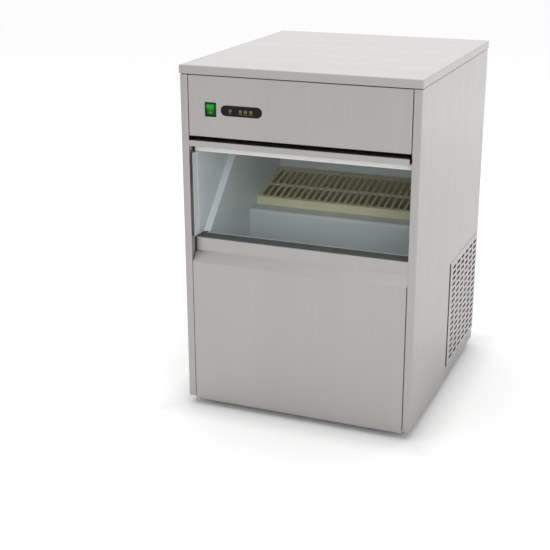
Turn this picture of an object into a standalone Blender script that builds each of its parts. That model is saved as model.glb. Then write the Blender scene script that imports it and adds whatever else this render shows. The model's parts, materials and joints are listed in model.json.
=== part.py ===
"""Under-counter ice cube machine with a bin door that slides back under the top, in metres.

+X is the machine's right as seen from the front, the front faces -Y and +Z is up. Everything is
placed from the plane of the front panels (y = 0) and the floor (z = 0), and one empty then puts
the middle of the whole machine over the origin.
"""

import math

import bmesh
import bpy
from mathutils import Matrix, Vector

for old in list(bpy.data.objects):
    bpy.data.objects.remove(old, do_unlink=True)

# Cabinet
WIDTH = 0.498
DEPTH = 0.555
HEIGHT = 0.738
FOOT_H = 0.018
SHEET = 0.0012
GAP = 0.0003
SEAM = 0.001
LID_H = 0.017
LID_OVER = 0.0015
LID_GAP = 0.002
STILE = 0.0165
STILE_RETURN = 0.014
PAN_LIP = 0.025
NOTCH_FIRST = 0.034
NOTCH_PITCH = 0.080
NOTCH_W = 0.002
NOTCH_H = 0.006
VENT_FOOT_GAP = 0.0015
CONTROL_H = 0.123
PANEL_RETURN = 0.012

# Vented part of the right side
VENT_H = 0.271
VENT_BEHIND = 0.0005
VENT_GAP = 0.0115
VENT_PITCH_Y = 0.0395
VENT_PITCH_Z = 0.0134
VENT_SLOT_L = 0.030
VENT_SLOT_W = 0.006
VENT_SLOT_TOP = 0.018
VENT_SLOT_BACK = 0.0235
VENT_EDGE = 0.010

# Door and its tracks
DOOR_L = 0.232
DOOR_SKIN = 0.012
DOOR_SHEET = 0.0012
DOOR_PLUG = 0.016
DOOR_SET_BACK = 0.025
DOOR_SIDE_GAP = 0.0025
DOOR_PROUD = 0.005
DOOR_UNDER = 0.008
PLUG_IN = 0.001
PIN_IN = 0.0225
PIN_R = 0.003
PIN_CLEAR = 0.0003
PIN_REACH = 0.012
ROLLER_R = 0.0067
ROLLER_W = 0.0075
ROLLER_CLEAR = 0.0003
TRACK_T = 0.0015
TRACK_D = 0.011

# Sill under the door
RECESS = 0.020
BAND_H = 0.028
SILL_D = 0.032
STRIP_T = 0.0018
SILL_CLEAR = 0.0025

# Liner
LINER_IN = 0.030
LINER_WIDE = 0.012
LINER_T = 0.0025
BAND_SLANT = 0.0085
BIN_UP = 0.0658
BIN_BACK = 0.272
CHAMBER_BEHIND = 0.094
DOOR_REAR_CLEAR = 0.0135
DECK_UP = 0.004
FOAM_SIDE = 0.0019
FOAM_UNDER = 0.024
FOAM_BACK = 0.026

# Water tank and grate
TANK_H = 0.110
TANK_T = 0.003
TANK_DROP = 0.0065
LEDGE_D = 0.0455
GRATE_RISE = 0.037
GRATE_LIP = 0.019
GRATE_T = 0.004
GRATE_SLOT_W = 0.0073
GRATE_PITCH = 0.01565
GRATE_FRONT_RIB = 0.010
GRATE_FRONT_SLOT = 0.050
GRATE_MID_RIB = 0.012
GRATE_REAR_SLOT = 0.060
SPIGOT_R = 0.009
SPIGOT_L = 0.034

# Evaporator
PLATE_DROP = 0.052
PLATE_T = 0.012
CUP_R = 0.013
CUP_T = 0.0015
CUP_H = 0.028
CUP_SIDE = 0.040
CUP_ROWS = 3
CUP_PITCH_X = 0.044
CUP_PITCH_Y = 0.045
COIL_R = 0.004

# Machine room
FAN_R = 0.072
FAN_HUB_R = 0.018
FAN_BLADES = 5
MOTOR_R = 0.031
MOTOR_L = 0.048
SHROUD_HOLE = 0.076
TUBE_R = 0.004
HOSE_R = 0.008
SHELL_R = 0.068
SHELL_H = 0.162

# Switch and indicator window
SWITCH_IN = 0.06625
SWITCH_UP = 0.05625
BEZEL_W = 0.024
BEZEL_H = 0.029
BEZEL_PROUD = 0.0018
ROCKER_W = 0.0165
ROCKER_H = 0.0214
ROCKER_TILT = 10.0
WINDOW_IN = 0.133
WINDOW_UP = 0.05625
WINDOW_W = 0.0884
WINDOW_H = 0.0211
WINDOW_PROUD = 0.0012

# Sizes that follow from the ones above
HALF = WIDTH / 2
INNER = HALF - SHEET
PANEL_TOP = HEIGHT - LID_H - LID_GAP
CONTROL_Z = PANEL_TOP - CONTROL_H
DECK_UNDER = CONTROL_Z + DECK_UP
SWITCH_X = SWITCH_IN - HALF
SWITCH_Z = CONTROL_Z + SWITCH_UP
WINDOW_X = WINDOW_IN - HALF
WINDOW_Z = CONTROL_Z + WINDOW_UP
OPENING_X = HALF - STILE
DOOR_X = OPENING_X - DOOR_SIDE_GAP
PLUG_X = DOOR_X - PLUG_IN
DOOR_TOP = CONTROL_Z - DOOR_UNDER
DOOR_T = DOOR_SKIN + DOOR_PLUG
PIN_Z = DOOR_TOP - PIN_IN
PIN_Y = DOOR_L - PIN_IN - DOOR_PROUD
DOOR_END = PIN_Y + PIN_IN
PAN_TOP = FOOT_H + SHEET
PAN_EDGE = FOOT_H + PAN_LIP
SILL_Z = DOOR_TOP - DOOR_L + DOOR_SET_BACK - SILL_CLEAR - STRIP_T
STRIP_TOP = SILL_Z + STRIP_T
BIN_Z = PAN_TOP + BIN_UP
BIN_FRONT = RECESS + SILL_D + LINER_T
LINER_X = HALF - LINER_IN
CHAMBER_BACK = DEPTH - CHAMBER_BEHIND
POCKET_BACK = DOOR_END + DOOR_REAR_CLEAR
WIDE_X = LINER_X + LINER_WIDE
TRACK_H = 2 * (ROLLER_R + ROLLER_CLEAR + TRACK_T)
TRACK_Z = PIN_Z - TRACK_H / 2
LINER_TOP = TRACK_Z - GAP
LEDGE_Z = LINER_TOP - LINER_T
RIM_Z = DECK_UNDER - GAP
TANK_TOP = STRIP_TOP - TANK_DROP
TANK_Z = TANK_TOP - TANK_H
STEP_Z = TANK_Z - GAP
FOAM_X = INNER - FOAM_SIDE
ROOM_TOP = STEP_Z - LINER_T - FOAM_UNDER
ROOM_FRONT = BIN_BACK + LINER_T + FOAM_UNDER
VENT_TOP = FOOT_H + VENT_H
VENT_FRONT = ROOM_FRONT - VENT_BEHIND
TANK_X = LINER_X - GAP
TANK_FRONT = BIN_BACK + GAP
TANK_BACK = CHAMBER_BACK - GAP
GRATE_FRONT = BIN_BACK + LEDGE_D - 0.0045
PLATE_Z = DECK_UNDER - PLATE_DROP
CUP_COLUMNS = int(2 * (LINER_X - CUP_SIDE) / CUP_PITCH_X)
REAR_INNER = DEPTH - SHEET
FITTING_OUT = 0.025

scene = bpy.context.scene
machine = bpy.data.objects.new("machine", None)
scene.collection.objects.link(machine)
machine.location = (0, -(DEPTH + FITTING_OUT - DOOR_PROUD) / 2, 0)


def axis_empty(name, place):
    """An empty on a joint's axis, which carries the pieces that move about it."""
    empty = bpy.data.objects.new(name, None)
    scene.collection.objects.link(empty)
    empty.parent = machine
    empty.location = place
    return empty


def look(name, colour, roughness, metallic=0.0):
    """A plain Principled material."""
    made = bpy.data.materials.new(name)
    made.use_nodes = True
    shader = made.node_tree.nodes["Principled BSDF"]
    shader.inputs["Base Color"].default_value = (*colour, 1)
    shader.inputs["Roughness"].default_value = roughness
    shader.inputs["Metallic"].default_value = metallic
    made.diffuse_color = (*colour, 1)
    return made


def piece(name, solid, material, carrier=None, smooth=None, pivot=(0, 0, 0)):
    """One named object from a finished bmesh, with its origin at its pivot or its carrier's axis."""
    origin = carrier.location if carrier else Vector(pivot)
    bmesh.ops.translate(solid, verts=solid.verts, vec=-origin)
    mesh = bpy.data.meshes.new(name)
    solid.to_mesh(mesh)
    solid.free()
    mesh.materials.append(material)
    if smooth:
        mesh.shade_smooth()
        mesh.set_sharp_from_angle(angle=math.radians(smooth))
    made = bpy.data.objects.new(name, mesh)
    scene.collection.objects.link(made)
    made.parent = carrier or machine
    if not carrier:
        made.location = pivot
    return made


# How a flat outline (a, b) and a height h lie in space, for an outline drawn across each axis
AXES = {
    "x": lambda a, b, h: (h, a, b),
    "y": lambda a, b, h: (a, h, b),
    "z": lambda a, b, h: (a, b, h),
}


def extrude(outline, axis, low, high):
    """A prism with the outline's cross-section, from low to high along the axis."""
    solid = bmesh.new()
    place = AXES[axis]
    ends = [[solid.verts.new(place(a, b, h)) for a, b in outline] for h in (low, high)]
    solid.faces.new(ends[0])
    solid.faces.new(reversed(ends[1]))
    for i in range(len(outline)):
        j = (i + 1) % len(outline)
        solid.faces.new((ends[0][i], ends[1][i], ends[1][j], ends[0][j]))
    bmesh.ops.recalc_face_normals(solid, faces=solid.faces)
    return solid


def block(x0, x1, y0, y1, z0, z1):
    """A box between two corners."""
    return extrude([(x0, y0), (x1, y0), (x1, y1), (x0, y1)], "z", z0, z1)


def disc(radius, axis, centre, low, high, sides=16):
    """A round bar along an axis, round the centre given as the other two coordinates."""
    outline = [
        (
            centre[0] + radius * math.cos(2 * math.pi * i / sides),
            centre[1] + radius * math.sin(2 * math.pi * i / sides),
        )
        for i in range(sides)
    ]
    return extrude(outline, axis, low, high)


def rounded(points, radii, steps=3):
    """A closed outline with its corners rounded; radii is one radius or one for each corner."""
    count = len(points)
    if not isinstance(radii, (list, tuple)):
        radii = [radii] * count
    outline = []
    for i, point in enumerate(points):
        here = Vector(point)
        before = (Vector(points[i - 1]) - here).normalized()
        after = (Vector(points[(i + 1) % count]) - here).normalized()
        if radii[i] <= 0 or abs(before.cross(after)) < 1e-6:
            outline.append(tuple(here))
            continue
        half = before.angle(after) / 2
        reach = radii[i] / math.tan(half)
        centre = here + (before + after).normalized() * radii[i] / math.sin(half)
        start = here + before * reach - centre
        end = here + after * reach - centre
        turn = math.atan2(start.cross(end), start.dot(end))
        for step in range(steps + 1):
            turned = Matrix.Rotation(turn * step / steps, 2) @ start
            outline.append(tuple(centre + turned))
    return outline


def strip(path, thickness, radius=0.0, steps=2):
    """A bent sheet's cross-section: the path is one face, and the sheet lies to its left."""
    left = []
    for i, point in enumerate(path):
        here = Vector(point)
        into = (here - Vector(path[i - 1])).normalized() if i > 0 else None
        out = (Vector(path[i + 1]) - here).normalized() if i < len(path) - 1 else None
        into = into or out
        out = out or into
        normal = (into.orthogonal() + out.orthogonal()).normalized()
        if (into + out).cross(normal) < 0:
            normal = -normal
        left.append(tuple(here + normal * thickness / max(0.2, math.cos(into.angle(out) / 2))))
    radii = []
    for i in range(len(path)):
        if i in (0, len(path) - 1):
            radii.append((0, 0))
            continue
        a = Vector(path[i]) - Vector(path[i - 1])
        b = Vector(path[i + 1]) - Vector(path[i])
        inside = a.cross(b) > 0
        radii.append((radius + thickness, radius) if inside else (radius, radius + thickness))
    corners = list(path) + left[::-1]
    rounding = [r[0] for r in radii] + [r[1] for r in reversed(radii)]
    return rounded(corners, rounding, steps)


def obround(a, b, long, wide, steps=3):
    """A slot's outline, long across the first coordinate."""
    radius = wide / 2
    reach = long / 2 - radius
    outline = []
    for side, start in ((1, -90), (-1, 90)):
        for step in range(steps + 1):
            angle = math.radians(start + 180 * step / steps)
            outline.append(
                (a + side * reach + radius * math.cos(angle), b + radius * math.sin(angle))
            )
    return outline


def perforated(outline, holes, axis, low, high):
    """A flat plate with holes through it."""
    plate = extrude(outline, axis, low, high)
    if holes:
        plate = cut(plate, gather(*[extrude(hole, axis, low - 0.01, high + 0.01) for hole in holes]))
    return plate


def turned(profile, sides, axis, centre, closed=False):
    """A turned solid from (radius, height) pairs; closed joins the last pair to the first."""
    solid = bmesh.new()
    rings = []
    for radius, height in profile:
        if radius <= 0:
            rings.append([solid.verts.new(AXES[axis](*centre, height))])
            continue
        ring = []
        for i in range(sides):
            angle = 2 * math.pi * i / sides
            a = centre[0] + radius * math.cos(angle)
            b = centre[1] + radius * math.sin(angle)
            ring.append(solid.verts.new(AXES[axis](a, b, height)))
        rings.append(ring)
    pairs = list(zip(rings, rings[1:]))
    if closed:
        pairs.append((rings[-1], rings[0]))
    for low, high in pairs:
        for i in range(sides):
            j = (i + 1) % sides
            if len(low) == 1:
                solid.faces.new((low[0], high[j], high[i]))
            elif len(high) == 1:
                solid.faces.new((low[i], low[j], high[0]))
            else:
                solid.faces.new((low[i], low[j], high[j], high[i]))
    if not closed:
        for ring in (rings[0], rings[-1]):
            if len(ring) > 1:
                solid.faces.new(ring)
    bmesh.ops.recalc_face_normals(solid, faces=solid.faces)
    return solid


def bent(points, radius, steps=3):
    """A route in space with each corner rounded."""
    route = [Vector(points[0])]
    for before, here, after in zip(points, points[1:], points[2:]):
        here = Vector(here)
        back = (Vector(before) - here).normalized()
        ahead = (Vector(after) - here).normalized()
        half = back.angle(ahead) / 2
        reach = radius / math.tan(half)
        centre = here + (back + ahead).normalized() * radius / math.sin(half)
        start = here + back * reach - centre
        end = here + ahead * reach - centre
        turn = start.rotation_difference(end)
        axis, angle = turn.to_axis_angle()
        for step in range(steps + 1):
            route.append(centre + Matrix.Rotation(angle * step / steps, 3, axis) @ start)
    route.append(Vector(points[-1]))
    return route


def tube(route, radius, sides=6):
    """A solid round rod or pipe along a route, with flat ends."""
    solid = bmesh.new()
    forward = (route[1] - route[0]).normalized()
    across = forward.orthogonal().normalized()
    rings = []
    for i, spot in enumerate(route):
        before = (spot - route[i - 1]).normalized() if i > 0 else None
        after = (route[i + 1] - spot).normalized() if i < len(route) - 1 else None
        before = before or after
        after = after or before
        heading = (before + after).normalized()
        across = (across - heading * across.dot(heading)).normalized()
        side = heading.cross(across)
        ring = []
        for k in range(sides):
            angle = 2 * math.pi * (k + 0.5) / sides
            ring.append(
                solid.verts.new(
                    spot + (across * math.cos(angle) + side * math.sin(angle)) * radius
                )
            )
        rings.append(ring)
    for low, high in zip(rings, rings[1:]):
        for k in range(sides):
            n = (k + 1) % sides
            solid.faces.new((low[k], low[n], high[n], high[k]))
    solid.faces.new(reversed(rings[0]))
    solid.faces.new(rings[-1])
    bmesh.ops.recalc_face_normals(solid, faces=solid.faces)
    return solid


def gather(*solids):
    """Several separate bodies in one bmesh."""
    whole = bmesh.new()
    for solid in solids:
        mesh = bpy.data.meshes.new("part")
        solid.to_mesh(mesh)
        solid.free()
        whole.from_mesh(mesh)
        bpy.data.meshes.remove(mesh)
    return whole


def boolean(body, tool, operation):
    """The body cut by, joined to or kept inside the tool."""
    made = []
    for solid in (body, tool):
        mesh = bpy.data.meshes.new("part")
        solid.to_mesh(mesh)
        solid.free()
        thing = bpy.data.objects.new("part", mesh)
        scene.collection.objects.link(thing)
        made.append(thing)
    change = made[0].modifiers.new("change", "BOOLEAN")
    change.operation = operation
    change.object = made[1]
    change.solver = "EXACT"
    ready = made[0].evaluated_get(bpy.context.evaluated_depsgraph_get())
    result = bmesh.new()
    result.from_mesh(ready.to_mesh())
    ready.to_mesh_clear()
    for thing in made:
        mesh = thing.data
        bpy.data.objects.remove(thing, do_unlink=True)
        bpy.data.meshes.remove(mesh)
    bmesh.ops.remove_doubles(result, verts=result.verts, dist=1e-6)
    return result


def cut(body, *tools):
    """The body with each tool's volume taken out."""
    for tool in tools:
        body = boolean(body, tool, "DIFFERENCE")
    return body


def join(body, *tools):
    """The body and the tools as one closed solid."""
    for tool in tools:
        body = boolean(body, tool, "UNION")
    return body


def soften(solid, width, pick, segments=2):
    """Rounds the straight edges that pick chooses by their two ends."""
    edges = [edge for edge in solid.edges if pick(edge.verts[0].co, edge.verts[1].co)]
    bmesh.ops.bevel(
        solid, geom=edges, offset=width, segments=segments, affect="EDGES", profile=0.5
    )
    return solid


def at(value, wanted):
    return abs(value - wanted) < 1e-5


STEEL = look("brushed steel", (0.36, 0.36, 0.33), 0.34, 1.0)
GALVANIZED = look("galvanized steel", (0.42, 0.43, 0.44), 0.45, 1.0)
LINER_PLASTIC = look("pale liner plastic", (0.42, 0.48, 0.48), 0.35)
GRATE_PLASTIC = look("beige grate plastic", (0.42, 0.42, 0.30), 0.45)
BLACK_PLASTIC = look("black plastic", (0.012, 0.013, 0.012), 0.4)
WINDOW_PLASTIC = look("dark window plastic", (0.03, 0.026, 0.03), 0.25)
GREEN_PLASTIC = look("green rocker plastic", (0.02, 0.33, 0.03), 0.25)
WHITE_PLASTIC = look("white plastic", (0.7, 0.7, 0.68), 0.4)
RUBBER = look("black rubber", (0.02, 0.02, 0.018), 0.8)
FOAM = look("rigid foam", (0.7, 0.62, 0.4), 0.9)
COPPER = look("copper", (0.62, 0.28, 0.16), 0.3, 1.0)
TINNED = look("tinned copper", (0.55, 0.5, 0.45), 0.3, 1.0)
ALUMINIUM = look("aluminium", (0.6, 0.6, 0.6), 0.4, 1.0)
BLACK_PAINT = look("black enamel", (0.015, 0.015, 0.015), 0.35)
BOARD_GREEN = look("circuit board", (0.02, 0.12, 0.05), 0.5)
BRASS = look("brass", (0.6, 0.42, 0.16), 0.35, 1.0)


# Feet and base pan
FOOT_X = HALF - 0.042
FOOT_FRONT = 0.045
FOOT_BACK = DEPTH - 0.045
FEET = {
    "foot_front_left": (-FOOT_X, FOOT_FRONT),
    "foot_front_right": (FOOT_X, FOOT_FRONT),
    "foot_rear_left": (-FOOT_X, FOOT_BACK),
    "foot_rear_right": (FOOT_X, FOOT_BACK),
}
FOOT_R = 0.017
for foot_name, spot in FEET.items():
    foot = turned(
        [(FOOT_R - 0.002, 0), (FOOT_R - 0.0005, 0.0015), (FOOT_R, 0.006),
         (FOOT_R + 0.002, FOOT_H - GAP), (0.0045, FOOT_H - GAP), (0.0045, PAN_TOP)],
        12, "z", spot)
    piece(foot_name, foot, RUBBER, smooth=40)

pan = block(-(INNER - GAP), INNER - GAP, SHEET + GAP, REAR_INNER - GAP, FOOT_H, PAN_EDGE)
pan_room = block(
    -(INNER - GAP - SHEET), INNER - GAP - SHEET,
    2 * SHEET + GAP, REAR_INNER - GAP - SHEET, PAN_TOP, PAN_EDGE + 0.01)
pan = cut(pan, pan_room)
for spot in FEET.values():
    pan = cut(pan, disc(0.0045 + GAP, "z", spot, FOOT_H - 0.01, PAN_TOP + 0.01, 12))
for s in (-1, 1):
    low, high = sorted((s * (OPENING_X - SEAM - 0.0005), s * (HALF + 0.01)))
    pan = cut(pan, block(low, high, -0.01, STILE_RETURN + 0.0005, 0, PAN_EDGE + 0.01))
# three small notches in the right edge, under the vent panel
for k in range(3):
    y = VENT_FRONT + NOTCH_FIRST + NOTCH_PITCH * k
    pan = cut(pan, block(
        INNER - GAP - SHEET - 0.01, INNER + 0.01, y - NOTCH_W / 2, y + NOTCH_W / 2,
        PAN_EDGE - NOTCH_H, PAN_EDGE + 0.01))
piece("base_pan", pan, GALVANIZED)


# Side panels, each folded round into a front stile
def side_outline(side):
    """The plan of one side panel: outer face, front stile and its return into the opening."""
    path = [
        (side * OPENING_X, STILE_RETURN), (side * OPENING_X, 0),
        (side * HALF, 0), (side * HALF, REAR_INNER - GAP),
    ]
    if side < 0:
        path = path[::-1]
    return strip(path, SHEET, 0.0006)


for side_name, side in (("left_side_panel", -1), ("right_side_panel", 1)):
    panel = extrude(side_outline(side), "z", FOOT_H, PANEL_TOP)
    if side > 0:
        panel = cut(panel, block(
            INNER - 0.01, HALF + 0.01, VENT_FRONT - VENT_GAP, DEPTH + 0.01,
            FOOT_H - 0.01, VENT_TOP + SEAM))
    piece(side_name, panel, STEEL)

# Vent panel: a sheet with rows of slots, its rear edge level with the side panel's
VENT_BACK = REAR_INNER - GAP
VENT_Z0 = PAN_EDGE + VENT_FOOT_GAP
VENT_COLUMNS = 1 + int(
    (VENT_BACK - VENT_SLOT_BACK - VENT_FRONT - VENT_EDGE - VENT_SLOT_L / 2) / VENT_PITCH_Y)
VENT_ROWS = 1 + int((VENT_TOP - VENT_SLOT_TOP - VENT_Z0 - VENT_EDGE) / VENT_PITCH_Z)
slots = [
    obround(
        VENT_BACK - VENT_SLOT_BACK - VENT_PITCH_Y * column, VENT_TOP - VENT_SLOT_TOP - VENT_PITCH_Z * row,
        VENT_SLOT_L, VENT_SLOT_W, 2)
    for column in range(VENT_COLUMNS) for row in range(VENT_ROWS)
]
vent = perforated(
    [(VENT_FRONT, VENT_Z0), (VENT_BACK, VENT_Z0), (VENT_BACK, VENT_TOP), (VENT_FRONT, VENT_TOP)],
    slots, "x", INNER, HALF)
piece("vent_panel", vent, STEEL)


# Rear panel and the slotted cover of the machine room
def rear_tray(z0, z1, holes):
    """A flat rear sheet with forward flanges inside the side panels."""
    x = INNER - GAP
    front = REAR_INNER - PANEL_RETURN
    sheet = extrude([
        (-x, front), (-x + SHEET, front), (-x + SHEET, REAR_INNER), (x - SHEET, REAR_INNER),
        (x - SHEET, front), (x, front), (x, DEPTH), (-x, DEPTH)], "z", z0, z1)
    if holes:
        sheet = cut(sheet, gather(*[
            extrude(hole, "y", REAR_INNER - 0.005, DEPTH + 0.01) for hole in holes]))
    return sheet


def ring_outline(a, b, radius, sides=12):
    return [
        (a + radius * math.cos(2 * math.pi * k / sides),
         b + radius * math.sin(2 * math.pi * k / sides)) for k in range(sides)]


INLET = (0.059 - HALF, 0.150)
DRAIN = (0.109 - HALF, 0.062)
GLAND = (0.164 - HALF, 0.245)
FITTING_R = 0.0115
COVER_Z0 = PAN_EDGE + GAP
COVER_Z1 = VENT_TOP + SEAM
LOUVRE_ROWS = 9
LOUVRE_PITCH = 0.020
LOUVRE_W = 0.006
LOUVRE_GAP = 0.020
LOUVRE_DROP = 0.035
LOUVRE_X0 = GLAND[0] + 0.080
LOUVRE_X1 = HALF - 0.034
louvre_l = (LOUVRE_X1 - LOUVRE_X0 - LOUVRE_GAP) / 2
louvres = [
    obround(x, COVER_Z1 - LOUVRE_DROP - LOUVRE_PITCH * row, louvre_l, LOUVRE_W)
    for x in (LOUVRE_X0 + louvre_l / 2, LOUVRE_X1 - louvre_l / 2) for row in range(LOUVRE_ROWS)]
fittings = [ring_outline(*spot, FITTING_R + GAP) for spot in (INLET, DRAIN, GLAND)]
piece("rear_panel", rear_tray(COVER_Z1 + SEAM, PANEL_TOP, []), STEEL)
piece("rear_cover", rear_tray(COVER_Z0, COVER_Z1, louvres + fittings), STEEL)

# Top rails that carry the lid, tied to the side panels by a tab at each end
RAIL_TOP = HEIGHT - SHEET - GAP
RAIL_FOOT = PANEL_TOP + GAP
TAB_DROP = 0.020


def top_rail(y0, y1, tab_y0, tab_y1):
    """A hat-shaped rail from side to side, with a tab that goes down inside each side panel."""
    wall = SHEET
    x = INNER - GAP
    rail = extrude(
        [(y0, RAIL_FOOT), (y0 + wall, RAIL_FOOT), (y0 + wall, RAIL_TOP - wall),
         (y1 - wall, RAIL_TOP - wall), (y1 - wall, RAIL_FOOT), (y1, RAIL_FOOT),
         (y1, RAIL_TOP), (y0, RAIL_TOP)], "x", -x, x)
    for s in (-1, 1):
        rail = join(rail, block(
            min(s * x, s * (x - wall)), max(s * x, s * (x - wall)), tab_y0, tab_y1,
            RAIL_FOOT - TAB_DROP, RAIL_TOP - wall / 2))
    return rail


RAIL_FRONT = PANEL_RETURN - 0.007
RAIL_D = 0.040
RAIL_BACK = REAR_INNER - PANEL_RETURN - 0.0015
piece("front_top_rail", top_rail(
    RAIL_FRONT, RAIL_FRONT + RAIL_D, STILE_RETURN + 0.001, RAIL_FRONT + RAIL_D - 0.001), GALVANIZED)
piece("rear_top_rail", top_rail(
    RAIL_BACK - RAIL_D, RAIL_BACK, RAIL_BACK - RAIL_D + 0.001, RAIL_BACK - 0.001), GALVANIZED)

# Lid: a shallow tray with rounded top edges
LID_X = HALF + LID_OVER
lid = block(-LID_X, LID_X, -LID_OVER, DEPTH + LID_OVER, HEIGHT - LID_H, HEIGHT)
lid = soften(lid, 0.0022, lambda p, q: (at(p.z, HEIGHT) and at(q.z, HEIGHT)) or (
    at(p.x, q.x) and at(p.y, q.y)), 3)
lid = cut(lid, block(
    -LID_X + SHEET, LID_X - SHEET, -LID_OVER + SHEET, DEPTH + LID_OVER - SHEET,
    HEIGHT - LID_H - 0.01, HEIGHT - SHEET))
piece("top_lid", lid, STEEL, smooth=30)

# Control panel: a tray between the stiles, with openings for the switch and the window
CONTROL_X = OPENING_X - SEAM
SWITCH_HOLE_W = BEZEL_W - 0.003
SWITCH_HOLE_H = BEZEL_H - 0.003
control = block(-CONTROL_X, CONTROL_X, 0, PANEL_RETURN, CONTROL_Z, PANEL_TOP)
control = soften(control, 0.0015, lambda p, q: at(p.y, 0) and at(q.y, 0), 2)
control = cut(
    control,
    block(-CONTROL_X + SHEET, CONTROL_X - SHEET, SHEET, PANEL_RETURN + 0.01,
          CONTROL_Z + SHEET, PANEL_TOP - SHEET),
    block(SWITCH_X - SWITCH_HOLE_W / 2, SWITCH_X + SWITCH_HOLE_W / 2, -0.01, 0.006,
          SWITCH_Z - SWITCH_HOLE_H / 2, SWITCH_Z + SWITCH_HOLE_H / 2),
    extrude(obround(WINDOW_X, WINDOW_Z, WINDOW_W - 0.003, WINDOW_H - 0.003, 6),
            "y", -0.01, 0.006))
piece("control_panel", control, STEEL, smooth=30)

# Switch: a bezel with a body behind the panel, and a rocker on a pin across it
BODY_D = 0.020
POCKET_W = ROCKER_W + 0.0008
POCKET_H = ROCKER_H + 0.0008
PIVOT_Y = 0.0035
TRUNNION_R = 0.0012
bezel = block(
    SWITCH_X - BEZEL_W / 2, SWITCH_X + BEZEL_W / 2, -BEZEL_PROUD, -GAP,
    SWITCH_Z - BEZEL_H / 2, SWITCH_Z + BEZEL_H / 2)
bezel = soften(bezel, 0.0008, lambda p, q: at(p.y, -BEZEL_PROUD) and at(q.y, -BEZEL_PROUD), 2)
bezel = join(bezel, block(
    SWITCH_X - SWITCH_HOLE_W / 2 + GAP, SWITCH_X + SWITCH_HOLE_W / 2 - GAP, -BEZEL_PROUD / 2,
    BODY_D, SWITCH_Z - SWITCH_HOLE_H / 2 + GAP, SWITCH_Z + SWITCH_HOLE_H / 2 - GAP))
bezel = cut(
    bezel,
    block(SWITCH_X - POCKET_W / 2, SWITCH_X + POCKET_W / 2, -0.01, BODY_D - 0.003,
          SWITCH_Z - POCKET_H / 2, SWITCH_Z + POCKET_H / 2),
    disc(TRUNNION_R + GAP, "x", (PIVOT_Y, SWITCH_Z),
         SWITCH_X - POCKET_W / 2 - 0.0012, SWITCH_X + POCKET_W / 2 + 0.0012, 12))
piece("switch_bezel", bezel, BLACK_PLASTIC)

ROCKER_R = ROCKER_H / 2
ROCKER_FRONT = -0.0052
edge = math.sqrt(ROCKER_R ** 2 - ROCKER_FRONT ** 2)
rocker_side = [(ROCKER_FRONT, edge), (ROCKER_FRONT + 0.0016, 0), (ROCKER_FRONT, -edge)]
for angle in range(-115, -60, 18):
    rocker_side.append((ROCKER_R * math.cos(math.radians(angle)),
                        ROCKER_R * math.sin(math.radians(angle))))
rocker_side += [(0.0075, -0.004), (0.0075, 0.004)]
for angle in range(61, 116, 18):
    rocker_side.append((ROCKER_R * math.cos(math.radians(angle)),
                        ROCKER_R * math.sin(math.radians(angle))))
lean = Matrix.Rotation(math.radians(ROCKER_TILT), 2)
rocker_side = [tuple(lean @ Vector(p)) for p in rocker_side]
rocker = extrude(
    [(PIVOT_Y + a, SWITCH_Z + b) for a, b in rocker_side], "x",
    SWITCH_X - ROCKER_W / 2, SWITCH_X + ROCKER_W / 2)
rocker = join(rocker, disc(
    TRUNNION_R, "x", (PIVOT_Y, SWITCH_Z), SWITCH_X - POCKET_W / 2 - 0.0009,
    SWITCH_X + POCKET_W / 2 + 0.0009, 12))
piece("power_rocker", rocker, GREEN_PLASTIC, smooth=25, pivot=(SWITCH_X, PIVOT_Y, SWITCH_Z))

# Indicator window and the small board behind it
WINDOW_D = 0.010
window = extrude(obround(WINDOW_X, WINDOW_Z, WINDOW_W, WINDOW_H, 8), "y", -WINDOW_PROUD, -GAP)
window = join(window, extrude(
    obround(WINDOW_X, WINDOW_Z, WINDOW_W - 0.003 - 2 * GAP, WINDOW_H - 0.003 - 2 * GAP, 6),
    "y", -WINDOW_PROUD / 2, WINDOW_D))
piece("indicator_window", window, WINDOW_PLASTIC, smooth=40)
piece("indicator_board", block(
    WINDOW_X - WINDOW_W / 2 - 0.004, WINDOW_X + WINDOW_W / 2 + 0.004, WINDOW_D + GAP,
    WINDOW_D + GAP + 0.0016, WINDOW_Z - 0.017, WINDOW_Z + 0.017), BOARD_GREEN)

# Lower front panel: one sheet, bent back under the door and over the sill
FRONT_Z0 = FOOT_H + 0.0005
front_path = [
    (0, FRONT_Z0), (0, SILL_Z - BAND_H - RECESS), (RECESS, SILL_Z - BAND_H),
    (RECESS, SILL_Z), (RECESS + SILL_D - GAP, SILL_Z)]
front = extrude(strip(front_path[::-1], SHEET, 0.0008), "x", -CONTROL_X, CONTROL_X)
piece("lower_front_panel", front, STEEL, smooth=30)
STRIP_X = WIDE_X - 0.0015
strip_teeth = 8
tooth = (SILL_D - 0.004) / strip_teeth
strip_side = [(RECESS + 0.003, SILL_Z + GAP)]
for i in range(strip_teeth):
    y = RECESS + 0.003 + tooth * i
    strip_side += [(y, STRIP_TOP - 0.0006), (y + tooth * 0.2, STRIP_TOP),
                   (y + tooth * 0.6, STRIP_TOP), (y + tooth * 0.8, STRIP_TOP - 0.0006)]
strip_side += [(RECESS + 0.003 + tooth * strip_teeth, STRIP_TOP - 0.0006),
               (RECESS + 0.003 + tooth * strip_teeth, SILL_Z + GAP)]
piece("sill_strip", extrude(strip_side, "x", -STRIP_X, STRIP_X), RUBBER)


# Liner: bin, chamber and the wider part that the door runs in
SLOPE = STRIP_TOP - BIN_FRONT


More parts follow.
